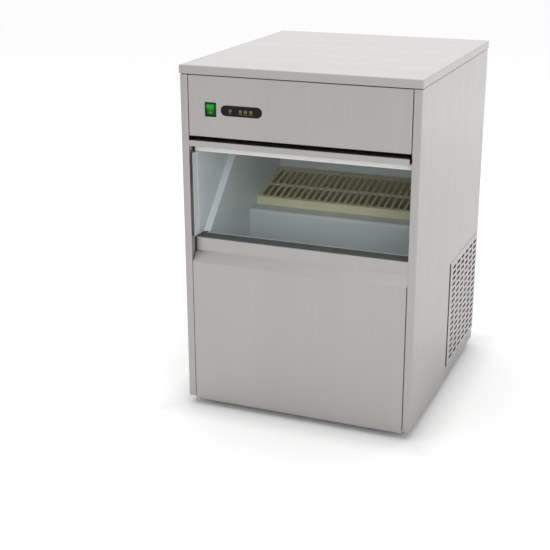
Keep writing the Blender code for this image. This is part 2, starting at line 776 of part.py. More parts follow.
def liner_body(grow):
    """The liner's outer shape, grown on every side; the foam round it uses the same shape."""
    t = LINER_T + grow
    low = SLOPE - BAND_SLANT - t * math.sqrt(2)
    narrow = extrude([
        (BIN_FRONT - t, BIN_Z - t), (BIN_BACK + t, BIN_Z - t), (BIN_BACK + t, STEP_Z - t),
        (CHAMBER_BACK + t, STEP_Z - t), (CHAMBER_BACK + t, RIM_Z + grow),
        (POCKET_BACK - grow, RIM_Z + grow), (POCKET_BACK - grow, LINER_TOP + grow),
        (BIN_FRONT - t, LINER_TOP + grow)], "x", -(LINER_X + t), LINER_X + t)
    base = LEDGE_Z - 0.003 - t
    wide = extrude([
        (STILE_RETURN + 0.0005 - grow, STRIP_TOP - grow), (STRIP_TOP - grow - low, STRIP_TOP - grow),
        (base - low, base), (POCKET_BACK + t, base), (POCKET_BACK + t, LINER_TOP + grow),
        (STILE_RETURN + 0.0005 - grow, LINER_TOP + grow)],
        "x", -(WIDE_X + t), WIDE_X + t)
    flange = [
        block(min(s * WIDE_X, s * (FOAM_X + grow)), max(s * WIDE_X, s * (FOAM_X + grow)),
              STILE_RETURN + 0.0005 - grow, POCKET_BACK + t, LINER_TOP - LINER_T - grow,
              LINER_TOP + grow)
        for s in (-1, 1)]
    return join(narrow, wide, *flange)


def liner_room():
    """The air inside the liner: the narrow bin and chamber, and the wide door space."""
    high = DECK_UNDER + 0.02
    narrow = extrude([
        (BIN_FRONT, BIN_Z), (BIN_BACK, BIN_Z), (BIN_BACK, STEP_Z), (CHAMBER_BACK, STEP_Z),
        (CHAMBER_BACK, high), (BIN_FRONT, high)], "x", -LINER_X, LINER_X)
    wide = bmesh.new()
    rings = []
    for x, slant, drop in (
            (-WIDE_X, 0, 0), (-LINER_X, BAND_SLANT, 0.003), (LINER_X, BAND_SLANT, 0.003),
            (WIDE_X, 0, 0)):
        ledge = LEDGE_Z - drop
        front_y = -0.01
        rim = STRIP_TOP - 0.0002
        section = [
            (front_y, rim), (rim - SLOPE + slant, rim), (ledge - SLOPE + slant, ledge),
            (POCKET_BACK, ledge), (POCKET_BACK, high), (front_y, high)]
        rings.append([wide.verts.new((x, y, z)) for y, z in section])
    for one, two in zip(rings, rings[1:]):
        for i in range(len(one)):
            j = (i + 1) % len(one)
            wide.faces.new((one[i], two[i], two[j], one[j]))
    wide.faces.new(rings[0])
    wide.faces.new(rings[-1])
    bmesh.ops.recalc_face_normals(wide, faces=wide.faces)
    jamb = block(-WIDE_X - 0.0008, WIDE_X + 0.0008, -0.02, 0.033, STRIP_TOP - 0.02, high)
    return narrow, wide, jamb


# Openings that pipes take through the liner and the foam
FILL = (0.014 - LINER_X, TANK_TOP + 0.014)
COIL_Z = PLATE_Z + PLATE_T + GAP + COIL_R
COIL_OUT = (0.069 - LINER_X, 0.029 - LINER_X)
BIN_DRAIN = (0.029 - LINER_X, BIN_BACK - 0.032)
PORTS = [
    (0.024 - LINER_X, CHAMBER_BACK - 0.111), (0.024 - LINER_X, CHAMBER_BACK - 0.056),
    (0.079 - LINER_X, CHAMBER_BACK - 0.021)]
BACK_IN = CHAMBER_BACK - 0.004
FOAM_REAR = CHAMBER_BACK + LINER_T + FOAM_BACK


def pipe_ways(grow):
    """Cutters for the pipes through the chamber's back wall, its floor and the bin's floor."""
    ways = [disc(HOSE_R + 0.0005 + grow, "y", FILL, BACK_IN, FOAM_REAR + 0.01, 12)]
    for x in COIL_OUT:
        ways.append(disc(COIL_R + 0.0006 + grow, "y", (x, COIL_Z), BACK_IN, FOAM_REAR + 0.01, 12))
    for spot in PORTS:
        ways.append(disc(SPIGOT_R + 0.0005 + grow, "z", spot, ROOM_TOP - 0.01, STEP_Z + 0.005, 12))
    ways.append(disc(HOSE_R - 0.001, "z", BIN_DRAIN, BIN_Z - 0.02, BIN_Z + 0.005, 12))
    return ways


liner = cut(liner_body(0), *liner_room(), *pipe_ways(0))
piece("liner", liner, LINER_PLASTIC)

# Foam round the liner
FOAM_Z0 = PAN_TOP + GAP
foam_side = [
    (2 * SHEET + 2 * GAP + 0.0002, FOAM_Z0), (ROOM_FRONT, FOAM_Z0), (ROOM_FRONT, ROOM_TOP),
    (FOAM_REAR, ROOM_TOP), (FOAM_REAR, RIM_Z), (POCKET_BACK + 0.001, RIM_Z),
    (POCKET_BACK + 0.001, LEDGE_Z - GAP), (STILE_RETURN + 0.001, LEDGE_Z - GAP),
    (STILE_RETURN + 0.001, SILL_Z - SHEET - GAP), (RECESS + SHEET + GAP, SILL_Z - SHEET - GAP),
    (RECESS + SHEET + GAP, SILL_Z - BAND_H - 0.001),
    (2 * SHEET + 2 * GAP + 0.0002, SILL_Z - BAND_H - RECESS + SHEET - 0.001)]
foam = extrude(foam_side, "x", -FOAM_X, FOAM_X)
foam = cut(
    foam,
    *[block(min(s * (CONTROL_X - 0.0005), s * (FOAM_X + 0.01)),
            max(s * (CONTROL_X - 0.0005), s * (FOAM_X + 0.01)),
            -0.01, STILE_RETURN + 0.001, 0, HEIGHT) for s in (-1, 1)],
    block(-CONTROL_X - 0.0004, CONTROL_X + 0.0004, -0.01, BIN_FRONT - LINER_T,
          SILL_Z - SHEET - GAP, STRIP_TOP + 0.002),
    liner_body(GAP), *pipe_ways(0.0003),
    tube(bent([(*BIN_DRAIN, BIN_Z + 0.01), (*BIN_DRAIN, 0.045),
               (BIN_DRAIN[0], ROOM_FRONT + 0.02, 0.045)], 0.018), HOSE_R + 0.0012, 12))
piece("foam_insulation", foam, FOAM)

# Deck between the door space and the controls
DECK_X = INNER - GAP
DECK_BACK = REAR_INNER - PANEL_RETURN - GAP
deck = extrude(
    strip([(-DECK_X, DECK_UNDER + 0.014), (-DECK_X, DECK_UNDER), (DECK_X, DECK_UNDER),
           (DECK_X, DECK_UNDER + 0.014)], SHEET, 0.0006),
    "y", PANEL_RETURN + 0.002, DECK_BACK)
piece("upper_deck", deck, GALVANIZED)

# Water tank: the front wall closes the bin's back, the ledge in front of the grate drips into it
BASIN_FRONT = BIN_BACK + LEDGE_D
tank = extrude(rounded(
    [(TANK_FRONT, TANK_Z), (TANK_BACK, TANK_Z), (TANK_BACK, TANK_TOP), (TANK_FRONT, TANK_TOP)],
    [0.003, 0.003, 0, 0.007], 3), "x", -TANK_X, TANK_X)
tank = cut(tank, extrude([
    (TANK_FRONT + TANK_T + 0.010, TANK_Z + TANK_T), (TANK_BACK - TANK_T, TANK_Z + TANK_T),
    (TANK_BACK - TANK_T, TANK_TOP + 0.01), (BASIN_FRONT, TANK_TOP + 0.01),
    (BASIN_FRONT, TANK_TOP - TANK_T), (TANK_FRONT + TANK_T + 0.010, TANK_TOP - TANK_T - 0.008)],
    "x", -TANK_X + TANK_T, TANK_X - TANK_T))
for spot in PORTS:
    tank = join(tank, disc(
        SPIGOT_R, "z", spot, TANK_Z - SPIGOT_L, TANK_Z + TANK_T / 2, 12))
for spot in PORTS:
    tank = cut(tank, disc(
        SPIGOT_R - 0.003, "z", spot, TANK_Z - SPIGOT_L - 0.01, TANK_Z + TANK_T + 0.002, 12))
piece("water_tank", tank, LINER_PLASTIC, smooth=40)

# Ice grate: a sloping plate with two rows of slots, a front lip and two side walls on the tank
GRATE_X = TANK_X - 0.0005
GRATE_BACK = TANK_BACK - 0.001
GRATE_Z0 = TANK_TOP + GAP
GRATE_TOP = GRATE_Z0 + GRATE_LIP
run = GRATE_BACK - GRATE_FRONT
slope = math.atan2(GRATE_RISE, run)
length = math.hypot(GRATE_RISE, run)
grate_slots = []
slot_count = int((2 * (GRATE_X - 0.008) + GRATE_PITCH - GRATE_SLOT_W) / GRATE_PITCH)
first = -(slot_count - 1) / 2 * GRATE_PITCH
for start, long in (
        (GRATE_FRONT_RIB, GRATE_FRONT_SLOT),
        (GRATE_FRONT_RIB + GRATE_FRONT_SLOT + GRATE_MID_RIB, GRATE_REAR_SLOT)):
    for i in range(slot_count):
        x = first + GRATE_PITCH * i
        w = GRATE_SLOT_W / 2
        grate_slots.append([
            (x - w, start + w / 2), (x - w / 2, start), (x + w / 2, start), (x + w, start + w / 2),
            (x + w, start + long - w / 2), (x + w / 2, start + long),
            (x - w / 2, start + long), (x - w, start + long - w / 2)])
grate = perforated(
    [(-GRATE_X, 0.0), (GRATE_X, 0.0), (GRATE_X, length), (-GRATE_X, length)],
    grate_slots, "z", -GRATE_T, 0)
grate.transform(
    Matrix.Translation((0, GRATE_FRONT, GRATE_TOP)) @ Matrix.Rotation(slope, 4, "X"))
skirt_wall = 0.0025
skirt_y = GRATE_FRONT + 0.0002
skirt_x = GRATE_X - 0.0002
grate = join(
    grate,
    extrude([(skirt_y, GRATE_Z0), (skirt_y + skirt_wall, GRATE_Z0),
             (skirt_y + skirt_wall, GRATE_TOP - GRATE_T * 0.4),
             (skirt_y, GRATE_TOP - GRATE_T * 0.4)], "x", -skirt_x, skirt_x))
for s in (-1, 1):
    low, high = sorted((s * (skirt_x - 0.0002), s * (skirt_x - 0.0002 - skirt_wall)))
    grate = join(grate, extrude([
        (skirt_y + 0.001, GRATE_Z0), (GRATE_BACK - 0.003, GRATE_Z0),
        (GRATE_BACK - 0.003, GRATE_TOP + GRATE_RISE - GRATE_T * 0.75),
        (skirt_y + 0.001, GRATE_TOP - GRATE_T * 0.5)], "x", low, high))
piece("ice_grate", grate, GRATE_PLASTIC)

# Spray bar on its riser, and the overflow pipe, both standing in the tank
FEED = PORTS[1]
BAR_Z = TANK_TOP - 0.016
bar = disc(0.008, "x", (FEED[1], BAR_Z), 0.016 - LINER_X, LINER_X - 0.039, 10)
bar = join(bar, disc(0.0075, "z", FEED, TANK_Z + TANK_T + GAP, BAR_Z, 12))
bar = join(bar, disc(0.010, "z", FEED, TANK_Z + TANK_T + GAP, TANK_Z + TANK_T + 0.008, 12))
for i in range(CUP_COLUMNS):
    x = (i - (CUP_COLUMNS - 1) / 2) * CUP_PITCH_X
    bar = join(bar, turned(
        [(0.0045, BAR_Z), (0.0045, BAR_Z + 0.010), (0.0022, BAR_Z + 0.017)], 6, "z",
        (x, FEED[1])))
piece("spray_bar", bar, WHITE_PLASTIC, smooth=40)
OVER = PORTS[2]
overflow = turned(
    [(0.010, TANK_Z + TANK_T + GAP), (0.010, TANK_Z + TANK_T + 0.006), (0.008, TANK_Z + 0.012),
     (0.008, TANK_TOP - 0.020), (0.0065, TANK_TOP - 0.020), (0.0065, TANK_Z + TANK_T + GAP)],
    12, "z", OVER, closed=True)
piece("overflow_pipe", overflow, WHITE_PLASTIC, smooth=40)

# Evaporator: a plate with rows of cups that open downwards, hung from the deck on four posts
EVAP_Y = (POCKET_BACK + CHAMBER_BACK) / 2 + 0.0145
cup_spots = [
    ((i - (CUP_COLUMNS - 1) / 2) * CUP_PITCH_X, EVAP_Y + (j - (CUP_ROWS - 1) / 2) * CUP_PITCH_Y)
    for i in range(CUP_COLUMNS) for j in range(CUP_ROWS)]
plate_x = (CUP_COLUMNS - 1) / 2 * CUP_PITCH_X + 0.022
plate_y = (CUP_ROWS - 1) / 2 * CUP_PITCH_Y + 0.022
evaporator = block(
    -plate_x, plate_x, EVAP_Y - plate_y, EVAP_Y + plate_y, PLATE_Z, PLATE_Z + PLATE_T)
evaporator = join(evaporator, gather(*[
    disc(CUP_R, "z", s, PLATE_Z - CUP_H, PLATE_Z + 0.003, 8) for s in cup_spots]))
evaporator = cut(evaporator, gather(*[
    disc(CUP_R - CUP_T, "z", s, PLATE_Z - CUP_H - 0.01, PLATE_Z - CUP_T, 8)
    for s in cup_spots]))
evaporator = join(evaporator, gather(*[
    disc(0.004, "z", (sx * (plate_x - 0.008), EVAP_Y + sy * (plate_y - 0.008)),
         PLATE_Z + PLATE_T - 0.002, DECK_UNDER - GAP, 8)
    for sx in (-1, 1) for sy in (-1, 1)]))
piece("evaporator", evaporator, TINNED)

rows = [EVAP_Y + (k - 1.5) * 0.030 for k in range(4)]
COIL_END = FOAM_REAR + 0.025
coil_x = plate_x - 0.022
coil = tube(bent([
    (COIL_OUT[1], COIL_END, COIL_Z), (COIL_OUT[1], rows[0], COIL_Z), (coil_x, rows[0], COIL_Z),
    (coil_x, rows[1], COIL_Z), (-coil_x + 0.004, rows[1], COIL_Z),
    (-coil_x + 0.004, rows[2], COIL_Z), (coil_x, rows[2], COIL_Z), (coil_x, rows[3], COIL_Z),
    (COIL_OUT[0], rows[3], COIL_Z), (COIL_OUT[0], COIL_END, COIL_Z)], 0.010, 3), COIL_R)
piece("evaporator_coil", coil, COPPER, smooth=50)

# Door: steel skin with a finger lip, and the plug behind it
door_axis = axis_empty("door_axis", (0, PIN_Y, PIN_Z))
DOOR_FRONT = -DOOR_PROUD
skin = block(
    -DOOR_X, DOOR_X, DOOR_FRONT, DOOR_END, DOOR_TOP - DOOR_SKIN, DOOR_TOP)
skin = soften(skin, 0.0018, lambda p, q: at(p.z, DOOR_TOP) and at(q.z, DOOR_TOP), 2)
skin = cut(skin, block(
    -DOOR_X + DOOR_SHEET, DOOR_X - DOOR_SHEET, DOOR_FRONT + DOOR_SHEET, DOOR_END - DOOR_SHEET,
    DOOR_TOP - DOOR_SKIN - 0.01, DOOR_TOP - DOOR_SHEET))
lip_in = DOOR_FRONT + DOOR_SET_BACK
skin = join(skin, block(
    -DOOR_X + DOOR_SHEET / 2, DOOR_X - DOOR_SHEET / 2, DOOR_FRONT + DOOR_SHEET / 2, lip_in,
    DOOR_TOP - DOOR_SKIN, DOOR_TOP - DOOR_SKIN + DOOR_SHEET))
piece("door_skin", skin, STEEL, door_axis, smooth=30)

plug_z0 = DOOR_TOP - DOOR_T
plug = extrude(rounded(
    [(lip_in, plug_z0), (DOOR_END - 0.001, plug_z0), (DOOR_END - 0.001, DOOR_TOP - DOOR_SKIN - GAP),
     (lip_in, DOOR_TOP - DOOR_SKIN - GAP)], [0.003, 0.003, 0, 0], 2), "x", -PLUG_X, PLUG_X)
core_x = DOOR_X - DOOR_SHEET - GAP
plug = join(plug, block(
    -core_x, core_x, lip_in + GAP, DOOR_END - DOOR_SHEET - GAP,
    DOOR_TOP - DOOR_SKIN - 2 * GAP, DOOR_TOP - DOOR_SHEET - GAP))
# a shallow field in the inner face, as a moulded door panel has
plug = cut(plug, extrude([
    (-PLUG_X + 0.022, lip_in + 0.022), (PLUG_X - 0.022, lip_in + 0.022),
    (PLUG_X - 0.022, DOOR_END - 0.032), (-PLUG_X + 0.022, DOOR_END - 0.032)],
    "z", plug_z0 - 0.01, plug_z0 + 0.0015))
for s in (-1, 1):
    low, high = sorted((s * (PLUG_X - PIN_REACH - 0.0005), s * (PLUG_X + 0.01)))
    plug = cut(plug, disc(PIN_R + PIN_CLEAR, "x", (PIN_Y, PIN_Z), low, high, 16))
piece("door_plug", plug, WHITE_PLASTIC, door_axis)

# Rollers with their pins, and the tracks that they run in
TRACK_OUT = INNER - GAP
TRACK_IN = TRACK_OUT - TRACK_D
TRACK_FRONT = STILE_RETURN + 0.0001
TRACK_BACK = PIN_Y + ROLLER_R + 0.0007 + TRACK_T
roller_axis = axis_empty("roller_axis", (0, PIN_Y, PIN_Z))
for roller_name, track_name, s in (
        ("door_roller_left", "door_track_left", -1),
        ("door_roller_right", "door_track_right", 1)):
    wheel = TRACK_IN + 0.0012
    roller = turned([
        (PIN_R, s * (PLUG_X - PIN_REACH)), (PIN_R, s * wheel), (ROLLER_R, s * wheel),
        (ROLLER_R, s * (wheel + ROLLER_W))], 16, "x", (PIN_Y, PIN_Z))
    piece(roller_name, roller, WHITE_PLASTIC, roller_axis, smooth=40)
    low, high = sorted((s * TRACK_IN, s * TRACK_OUT))
    track = block(low, high, TRACK_FRONT, TRACK_BACK, TRACK_Z, TRACK_Z + TRACK_H)
    low, high = sorted((s * (TRACK_IN - 0.01), s * (TRACK_OUT - TRACK_T)))
    track = cut(track, block(
        low, high, TRACK_FRONT + TRACK_T, TRACK_BACK - TRACK_T,
        TRACK_Z + TRACK_T, TRACK_Z + TRACK_H - TRACK_T))
    piece(track_name, track, ALUMINIUM)

# Compressor on rubber mounts, with its terminal cover
SHELL = (-0.025, DEPTH - 0.140)
MOUNT_H = 0.016
PLATE_FOOT = PAN_TOP + GAP + MOUNT_H
SHELL_Z = PLATE_FOOT + 0.003
MOUNT_IN = SHELL_R - 0.004
mounts = [(SHELL[0] + sx * MOUNT_IN, SHELL[1] + sy * MOUNT_IN) for sx in (-1, 1) for sy in (-1, 1)]
shell = turned([
    (SHELL_R * 0.55, SHELL_Z - 0.001), (SHELL_R * 0.85, SHELL_Z + SHELL_H * 0.06),
    (SHELL_R * 0.97, SHELL_Z + SHELL_H * 0.20), (SHELL_R * 0.97, SHELL_Z + SHELL_H * 0.44),
    (SHELL_R, SHELL_Z + SHELL_H * 0.46), (SHELL_R, SHELL_Z + SHELL_H * 0.52),
    (SHELL_R * 0.97, SHELL_Z + SHELL_H * 0.54), (SHELL_R * 0.95, SHELL_Z + SHELL_H * 0.78),
    (SHELL_R * 0.78, SHELL_Z + SHELL_H * 0.93), (SHELL_R * 0.40, SHELL_Z + SHELL_H),
    (0, SHELL_Z + SHELL_H)], 16, "z", SHELL)
foot_x = SHELL_R + 0.009
shell = join(
    shell,
    extrude(rounded([(SHELL[0] - foot_x, SHELL[1] - foot_x), (SHELL[0] + foot_x, SHELL[1] - foot_x),
                     (SHELL[0] + foot_x, SHELL[1] + foot_x), (SHELL[0] - foot_x, SHELL[1] + foot_x)],
                    0.010, 2), "z", PLATE_FOOT, SHELL_Z))
for spot in mounts:
    shell = join(shell, turned([
        (0.012, PAN_TOP + GAP), (0.013, PAN_TOP + GAP + 0.004), (0.010, PAN_TOP + GAP + 0.009),
        (0.011, SHELL_Z - 0.001)], 8, "z", spot))
LINE_Y = DEPTH - 0.023
STUB_END = LINE_Y - 0.038
SUCTION = (SHELL[0] - 0.020, SHELL_Z + 0.1115)
DISCHARGE = (SHELL[0] + 0.030, SHELL_Z + 0.0665)
for stub in (SUCTION, DISCHARGE):
    shell = join(shell, disc(TUBE_R + 0.0012, "y", stub, SHELL[1] + 0.03, STUB_END, 10))
piece("compressor", shell, BLACK_PAINT, smooth=35)
COVER_X = SHELL[0] - SHELL_R - GAP
piece("compressor_terminal_cover", block(
    COVER_X - 0.022, COVER_X, SHELL[1] - 0.045, SHELL[1] + 0.010, SHELL_Z + 0.060,
    SHELL_Z + 0.115), BLACK_PLASTIC)

# Condenser: a block of upright fins with its two pipe ends, behind the vent panel
COND_T = 0.046
COND_X1 = INNER - 0.0098
COND_X0 = COND_X1 - COND_T
COND_Y0 = ROOM_FRONT + 0.014
COND_Y1 = DEPTH - 0.040
COND_Z1 = ROOM_TOP - 0.006
FIN_COUNT = 22
fin_pitch = (COND_Y1 - COND_Y0 - 0.006) / FIN_COUNT
comb = [(COND_X0, COND_Y0), (COND_X1, COND_Y0)]
for i in range(FIN_COUNT):
    y = COND_Y0 + 0.003 + fin_pitch * i
    comb += [(COND_X1, y), (COND_X1 - 0.018, y), (COND_X1 - 0.018, y + fin_pitch * 0.6),
             (COND_X1, y + fin_pitch * 0.6)]
comb += [(COND_X1, COND_Y1), (COND_X0, COND_Y1)]
condenser = extrude(comb, "z", PAN_TOP + GAP, COND_Z1)
LINE_Z = PAN_TOP + 0.1808
COND_PORT = (COND_X1 - COND_T / 2, LINE_Z)
COND_IN = (COND_X1 - COND_T / 2, DISCHARGE[1])
COND_STUB = COND_Y1 + 0.004
for port in (COND_PORT, COND_IN):
    condenser = join(condenser, disc(
        TUBE_R + 0.0012, "y", port, COND_Y1 - 0.004, COND_STUB, 10))
piece("condenser", condenser, ALUMINIUM)

# Fan: shroud against the condenser, motor on a strap, blades on the motor's shaft
FAN_Y = (COND_Y0 + COND_Y1) / 2
FAN_Z = (PAN_TOP + GAP + COND_Z1) / 2
SHROUD_X1 = COND_X0 - GAP
SHROUD_X0 = SHROUD_X1 - 0.018
shroud = block(SHROUD_X0, SHROUD_X1, COND_Y0, COND_Y1, PAN_TOP + GAP, COND_Z1)
shroud = cut(
    shroud,
    block(SHROUD_X0 + 0.0015, SHROUD_X1 + 0.01, COND_Y0 + 0.0015, COND_Y1 - 0.0015,
          PAN_TOP + GAP + 0.0015, COND_Z1 - 0.0015),
    disc(SHROUD_HOLE, "x", (FAN_Y, FAN_Z), SHROUD_X0 - 0.01, SHROUD_X1 + 0.02, 32))
piece("fan_shroud", shroud, GALVANIZED)
HUB_X0 = SHROUD_X0 - 0.020
HUB_L = 0.020
MOTOR_X1 = HUB_X0 - 0.006
MOTOR_X0 = MOTOR_X1 - MOTOR_L
SHAFT_R = 0.003
motor = turned([
    (0, MOTOR_X0), (MOTOR_R * 0.8, MOTOR_X0), (MOTOR_R, MOTOR_X0 + 0.005),
    (MOTOR_R, MOTOR_X1 - 0.005), (MOTOR_R * 0.8, MOTOR_X1), (SHAFT_R, MOTOR_X1),
    (SHAFT_R, HUB_X0 + HUB_L - 0.004), (0, HUB_X0 + HUB_L - 0.004)], 20, "x", (FAN_Y, FAN_Z))
piece("fan_motor", motor, BLACK_PAINT, smooth=35)
STRAP_X = MOTOR_X1 - 0.012
leg = SHROUD_HOLE + 0.010
strap = extrude(strip([
    (SHROUD_X0 - GAP, FAN_Z - leg), (STRAP_X, FAN_Z - leg), (STRAP_X, FAN_Z + leg),
    (SHROUD_X0 - GAP, FAN_Z + leg)], 0.002, 0.001), "y", FAN_Y - 0.036, FAN_Y + 0.036)
strap = cut(strap, disc(
    MOTOR_R + GAP, "x", (FAN_Y, FAN_Z), STRAP_X - 0.02, STRAP_X + 0.02, 20))
piece("fan_bracket", strap, GALVANIZED)
fan = disc(FAN_HUB_R, "x", (FAN_Y, FAN_Z), HUB_X0, HUB_X0 + HUB_L, 20)
for k in range(FAN_BLADES):
    blade = bmesh.new()
    rings = []
    for radius, pitch, chord in (
            (FAN_HUB_R - 0.003, 38, 0.026), (FAN_R * 0.62, 28, 0.038), (FAN_R, 20, 0.044)):
        ring = []
        for along, out in ((-0.5, -0.0008), (0.5, -0.0008), (0.5, 0.0008), (-0.5, 0.0008)):
            a = math.radians(pitch)
            swing = along * chord * math.cos(a) - out * math.sin(a)
            deep = along * min(chord, 0.026 / math.sin(a)) * math.sin(a) * 0.7 + out * math.cos(a)
            turn = 2 * math.pi * k / FAN_BLADES + swing / radius
            ring.append(blade.verts.new((
                HUB_X0 + HUB_L / 2 + deep, FAN_Y + radius * math.cos(turn),
                FAN_Z + radius * math.sin(turn))))
        rings.append(ring)
    for one, two in zip(rings, rings[1:]):
        for i in range(4):
            j = (i + 1) % 4
            blade.faces.new((one[i], two[i], two[j], one[j]))
    blade.faces.new(rings[0])
    blade.faces.new(rings[-1])
    bmesh.ops.recalc_face_normals(blade, faces=blade.faces)
    fan = join(fan, blade)
fan = cut(fan, disc(SHAFT_R + GAP, "x", (FAN_Y, FAN_Z), HUB_X0 - 0.01, HUB_X0 + HUB_L - 0.0035, 16))
piece("fan_blades", fan, ALUMINIUM, pivot=(HUB_X0, FAN_Y, FAN_Z))

# Refrigerant lines
DRIER = (-0.005, 0.075)
drier = turned([
    (TUBE_R, DRIER[0]), (TUBE_R, DRIER[0] + 0.006), (0.0095, DRIER[0] + 0.014),
    (0.0095, DRIER[1] - 0.014), (TUBE_R, DRIER[1] - 0.006), (TUBE_R, DRIER[1])],
    12, "x", (LINE_Y, COND_PORT[1]))
piece("filter_drier", drier, COPPER, smooth=40)
piece("condenser_tube", tube(bent([
    (DRIER[1] + GAP, LINE_Y, COND_PORT[1]), (COND_PORT[0], LINE_Y, COND_PORT[1]),
    (COND_PORT[0], COND_STUB + GAP, COND_PORT[1])], 0.008), TUBE_R), COPPER, smooth=50)
RISER_Y = FOAM_REAR + 0.042
piece("liquid_tube", tube(bent([
    (COIL_OUT[0], COIL_END + GAP, COIL_Z), (COIL_OUT[0], RISER_Y, COIL_Z),
    (COIL_OUT[0], RISER_Y, COND_PORT[1]), (DRIER[0] - GAP, LINE_Y, COND_PORT[1])],
    0.010), TUBE_R), COPPER, smooth=50)
piece("suction_tube", tube(bent([
    (COIL_OUT[1], COIL_END + GAP, COIL_Z), (COIL_OUT[1], RISER_Y, COIL_Z),
    (COIL_OUT[1], RISER_Y, LINE_Z + 0.075), (COIL_OUT[1] + 0.027, RISER_Y, LINE_Z + 0.035),
    (COIL_OUT[1] + 0.027, RISER_Y, SUCTION[1]),
    (SUCTION[0], RISER_Y, SUCTION[1]), (SUCTION[0], STUB_END + GAP, SUCTION[1])],
    0.010), TUBE_R), COPPER, smooth=50)
piece("discharge_tube", tube(bent([
    (DISCHARGE[0], STUB_END + GAP, DISCHARGE[1]), (DISCHARGE[0], LINE_Y, DISCHARGE[1]),
    (COND_IN[0], LINE_Y, COND_IN[1]), (COND_IN[0], COND_STUB + GAP, COND_IN[1])],
    0.008), TUBE_R), COPPER, smooth=50)
VALVE_X = 0.050
VALVE_Z = COND_IN[1] + TUBE_R + 0.018
valve = turned([
    (TUBE_R, COND_IN[1] + TUBE_R + GAP), (TUBE_R, VALVE_Z - 0.006), (0.008, VALVE_Z - 0.006),
    (0.008, VALVE_Z + 0.006), (0.0105, VALVE_Z + 0.006), (0.0105, VALVE_Z + 0.026),
    (0.005, VALVE_Z + 0.026), (0.005, VALVE_Z + 0.031)], 12, "z", (VALVE_X, LINE_Y))
piece("hot_gas_valve", valve, BRASS, smooth=40)
LIQUID_EDGE = COIL_OUT[0] + TUBE_R + GAP
piece("hot_gas_tube", tube(bent([
    (VALVE_X - 0.008 - GAP, LINE_Y, VALVE_Z), (VALVE_X - 0.025, LINE_Y, VALVE_Z),
    (VALVE_X - 0.025, LINE_Y - 0.016, LINE_Z - 0.050),
    (VALVE_X - 0.060, LINE_Y - 0.016, LINE_Z + 0.025), (VALVE_X - 0.100, LINE_Y, LINE_Z + 0.075),
    (LIQUID_EDGE + 0.0357, LINE_Y, LINE_Z + 0.130), (LIQUID_EDGE, RISER_Y, LINE_Z + 0.130)],
    0.008, 2), TUBE_R * 0.8, 6),
    COPPER, smooth=50)

# Water side behind the rear cover
PUMP = ((PORTS[0][1] + PORTS[1][1]) / 2)
PORT_END = TANK_Z - SPIGOT_L - GAP
pump = disc(0.030, "z", (PORTS[0][0], PUMP), PORT_END - 0.090, PORT_END - 0.012, 20)
pump = join(
    pump,
    block(PORTS[0][0] - 0.022, PORTS[0][0] + 0.022, PORTS[0][1] - 0.016, PORTS[1][1] + 0.016,
          PORT_END - 0.014, PORT_END - 0.002),
    *[disc(SPIGOT_R, "z", spot, PORT_END - 0.006, PORT_END, 12) for spot in PORTS[:2]],
    *[disc(0.004, "z", (PORTS[0][0] + s * 0.017, PUMP), PORT_END - 0.006, ROOM_TOP - GAP, 8)
      for s in (-1, 1)])
piece("water_pump", pump, BLACK_PLASTIC, smooth=35)
MANIFOLD_Y = DEPTH - 0.012
HOSE_END = MANIFOLD_Y - 0.012
outlet = disc(0.0095, "x", (MANIFOLD_Y, DRAIN[1]), BIN_DRAIN[0] - 0.010, DRAIN[0] + 0.012, 12)
outlet = join(
    outlet,
    disc(FITTING_R, "y", DRAIN, MANIFOLD_Y, DEPTH + FITTING_OUT, 12),
    disc(HOSE_R, "y", DRAIN, HOSE_END, MANIFOLD_Y, 12),
    disc(HOSE_R, "y", (BIN_DRAIN[0], DRAIN[1]), HOSE_END, MANIFOLD_Y, 12))
outlet = cut(outlet, disc(FITTING_R - 0.003, "y", DRAIN, DEPTH, DEPTH + FITTING_OUT + 0.01, 12))
piece("drain_outlet", outlet, WHITE_PLASTIC, smooth=40)
piece("tank_drain_hose", tube(bent([
    (*OVER, PORT_END), (*OVER, DRAIN[1]), (OVER[0], HOSE_END - GAP, DRAIN[1])],
    0.020, 4), HOSE_R, 8), BLACK_PLASTIC, smooth=50)
piece("bin_drain_hose", tube(bent([
    (*BIN_DRAIN, BIN_Z - LINER_T - GAP), (*BIN_DRAIN, 0.045), (BIN_DRAIN[0], ROOM_FRONT + 0.1, 0.045),
    (BIN_DRAIN[0], ROOM_FRONT + 0.15, DRAIN[1]), (BIN_DRAIN[0], HOSE_END - GAP, DRAIN[1])],
    0.018, 3), HOSE_R, 8), WHITE_PLASTIC, smooth=50)
inlet = disc(FITTING_R, "y", INLET, REAR_INNER - 0.030, DEPTH + FITTING_OUT - 0.006, 12)
inlet = join(
    inlet,
    block(INLET[0] - 0.016, INLET[0] + 0.016, REAR_INNER - 0.040, REAR_INNER - GAP,
          INLET[1] - 0.014, INLET[1] + 0.014),
    disc(0.012, "z", (INLET[0], REAR_INNER - 0.020), INLET[1] + 0.010, INLET[1] + 0.040, 12),
    disc(HOSE_R - 0.001, "x", (REAR_INNER - 0.030, INLET[1] + 0.004),
         INLET[0] - 0.030, INLET[0], 12))
inlet = cut(inlet, disc(
    FITTING_R - 0.003, "y", INLET, DEPTH, DEPTH + FITTING_OUT, 12))
piece("water_inlet_valve", inlet, WHITE_PLASTIC, smooth=40)
FILL_Y = REAR_INNER - 0.030
FILL_X = INLET[0] - 0.030 - GAP
piece("fill_tube", tube(bent([
    (FILL_X, FILL_Y, INLET[1] + 0.004), (FILL_X - 0.014, FILL_Y, INLET[1] + 0.004),
    (FILL_X - 0.014, FILL_Y, INLET[1] + 0.060), (FILL[0], FILL_Y, INLET[1] + 0.110),
    (FILL[0], FILL_Y, FILL[1]), (FILL[0], TANK_BACK - TANK_T - 0.006, FILL[1])],
    0.010, 3), HOSE_R - 0.001, 8), WHITE_PLASTIC, smooth=50)
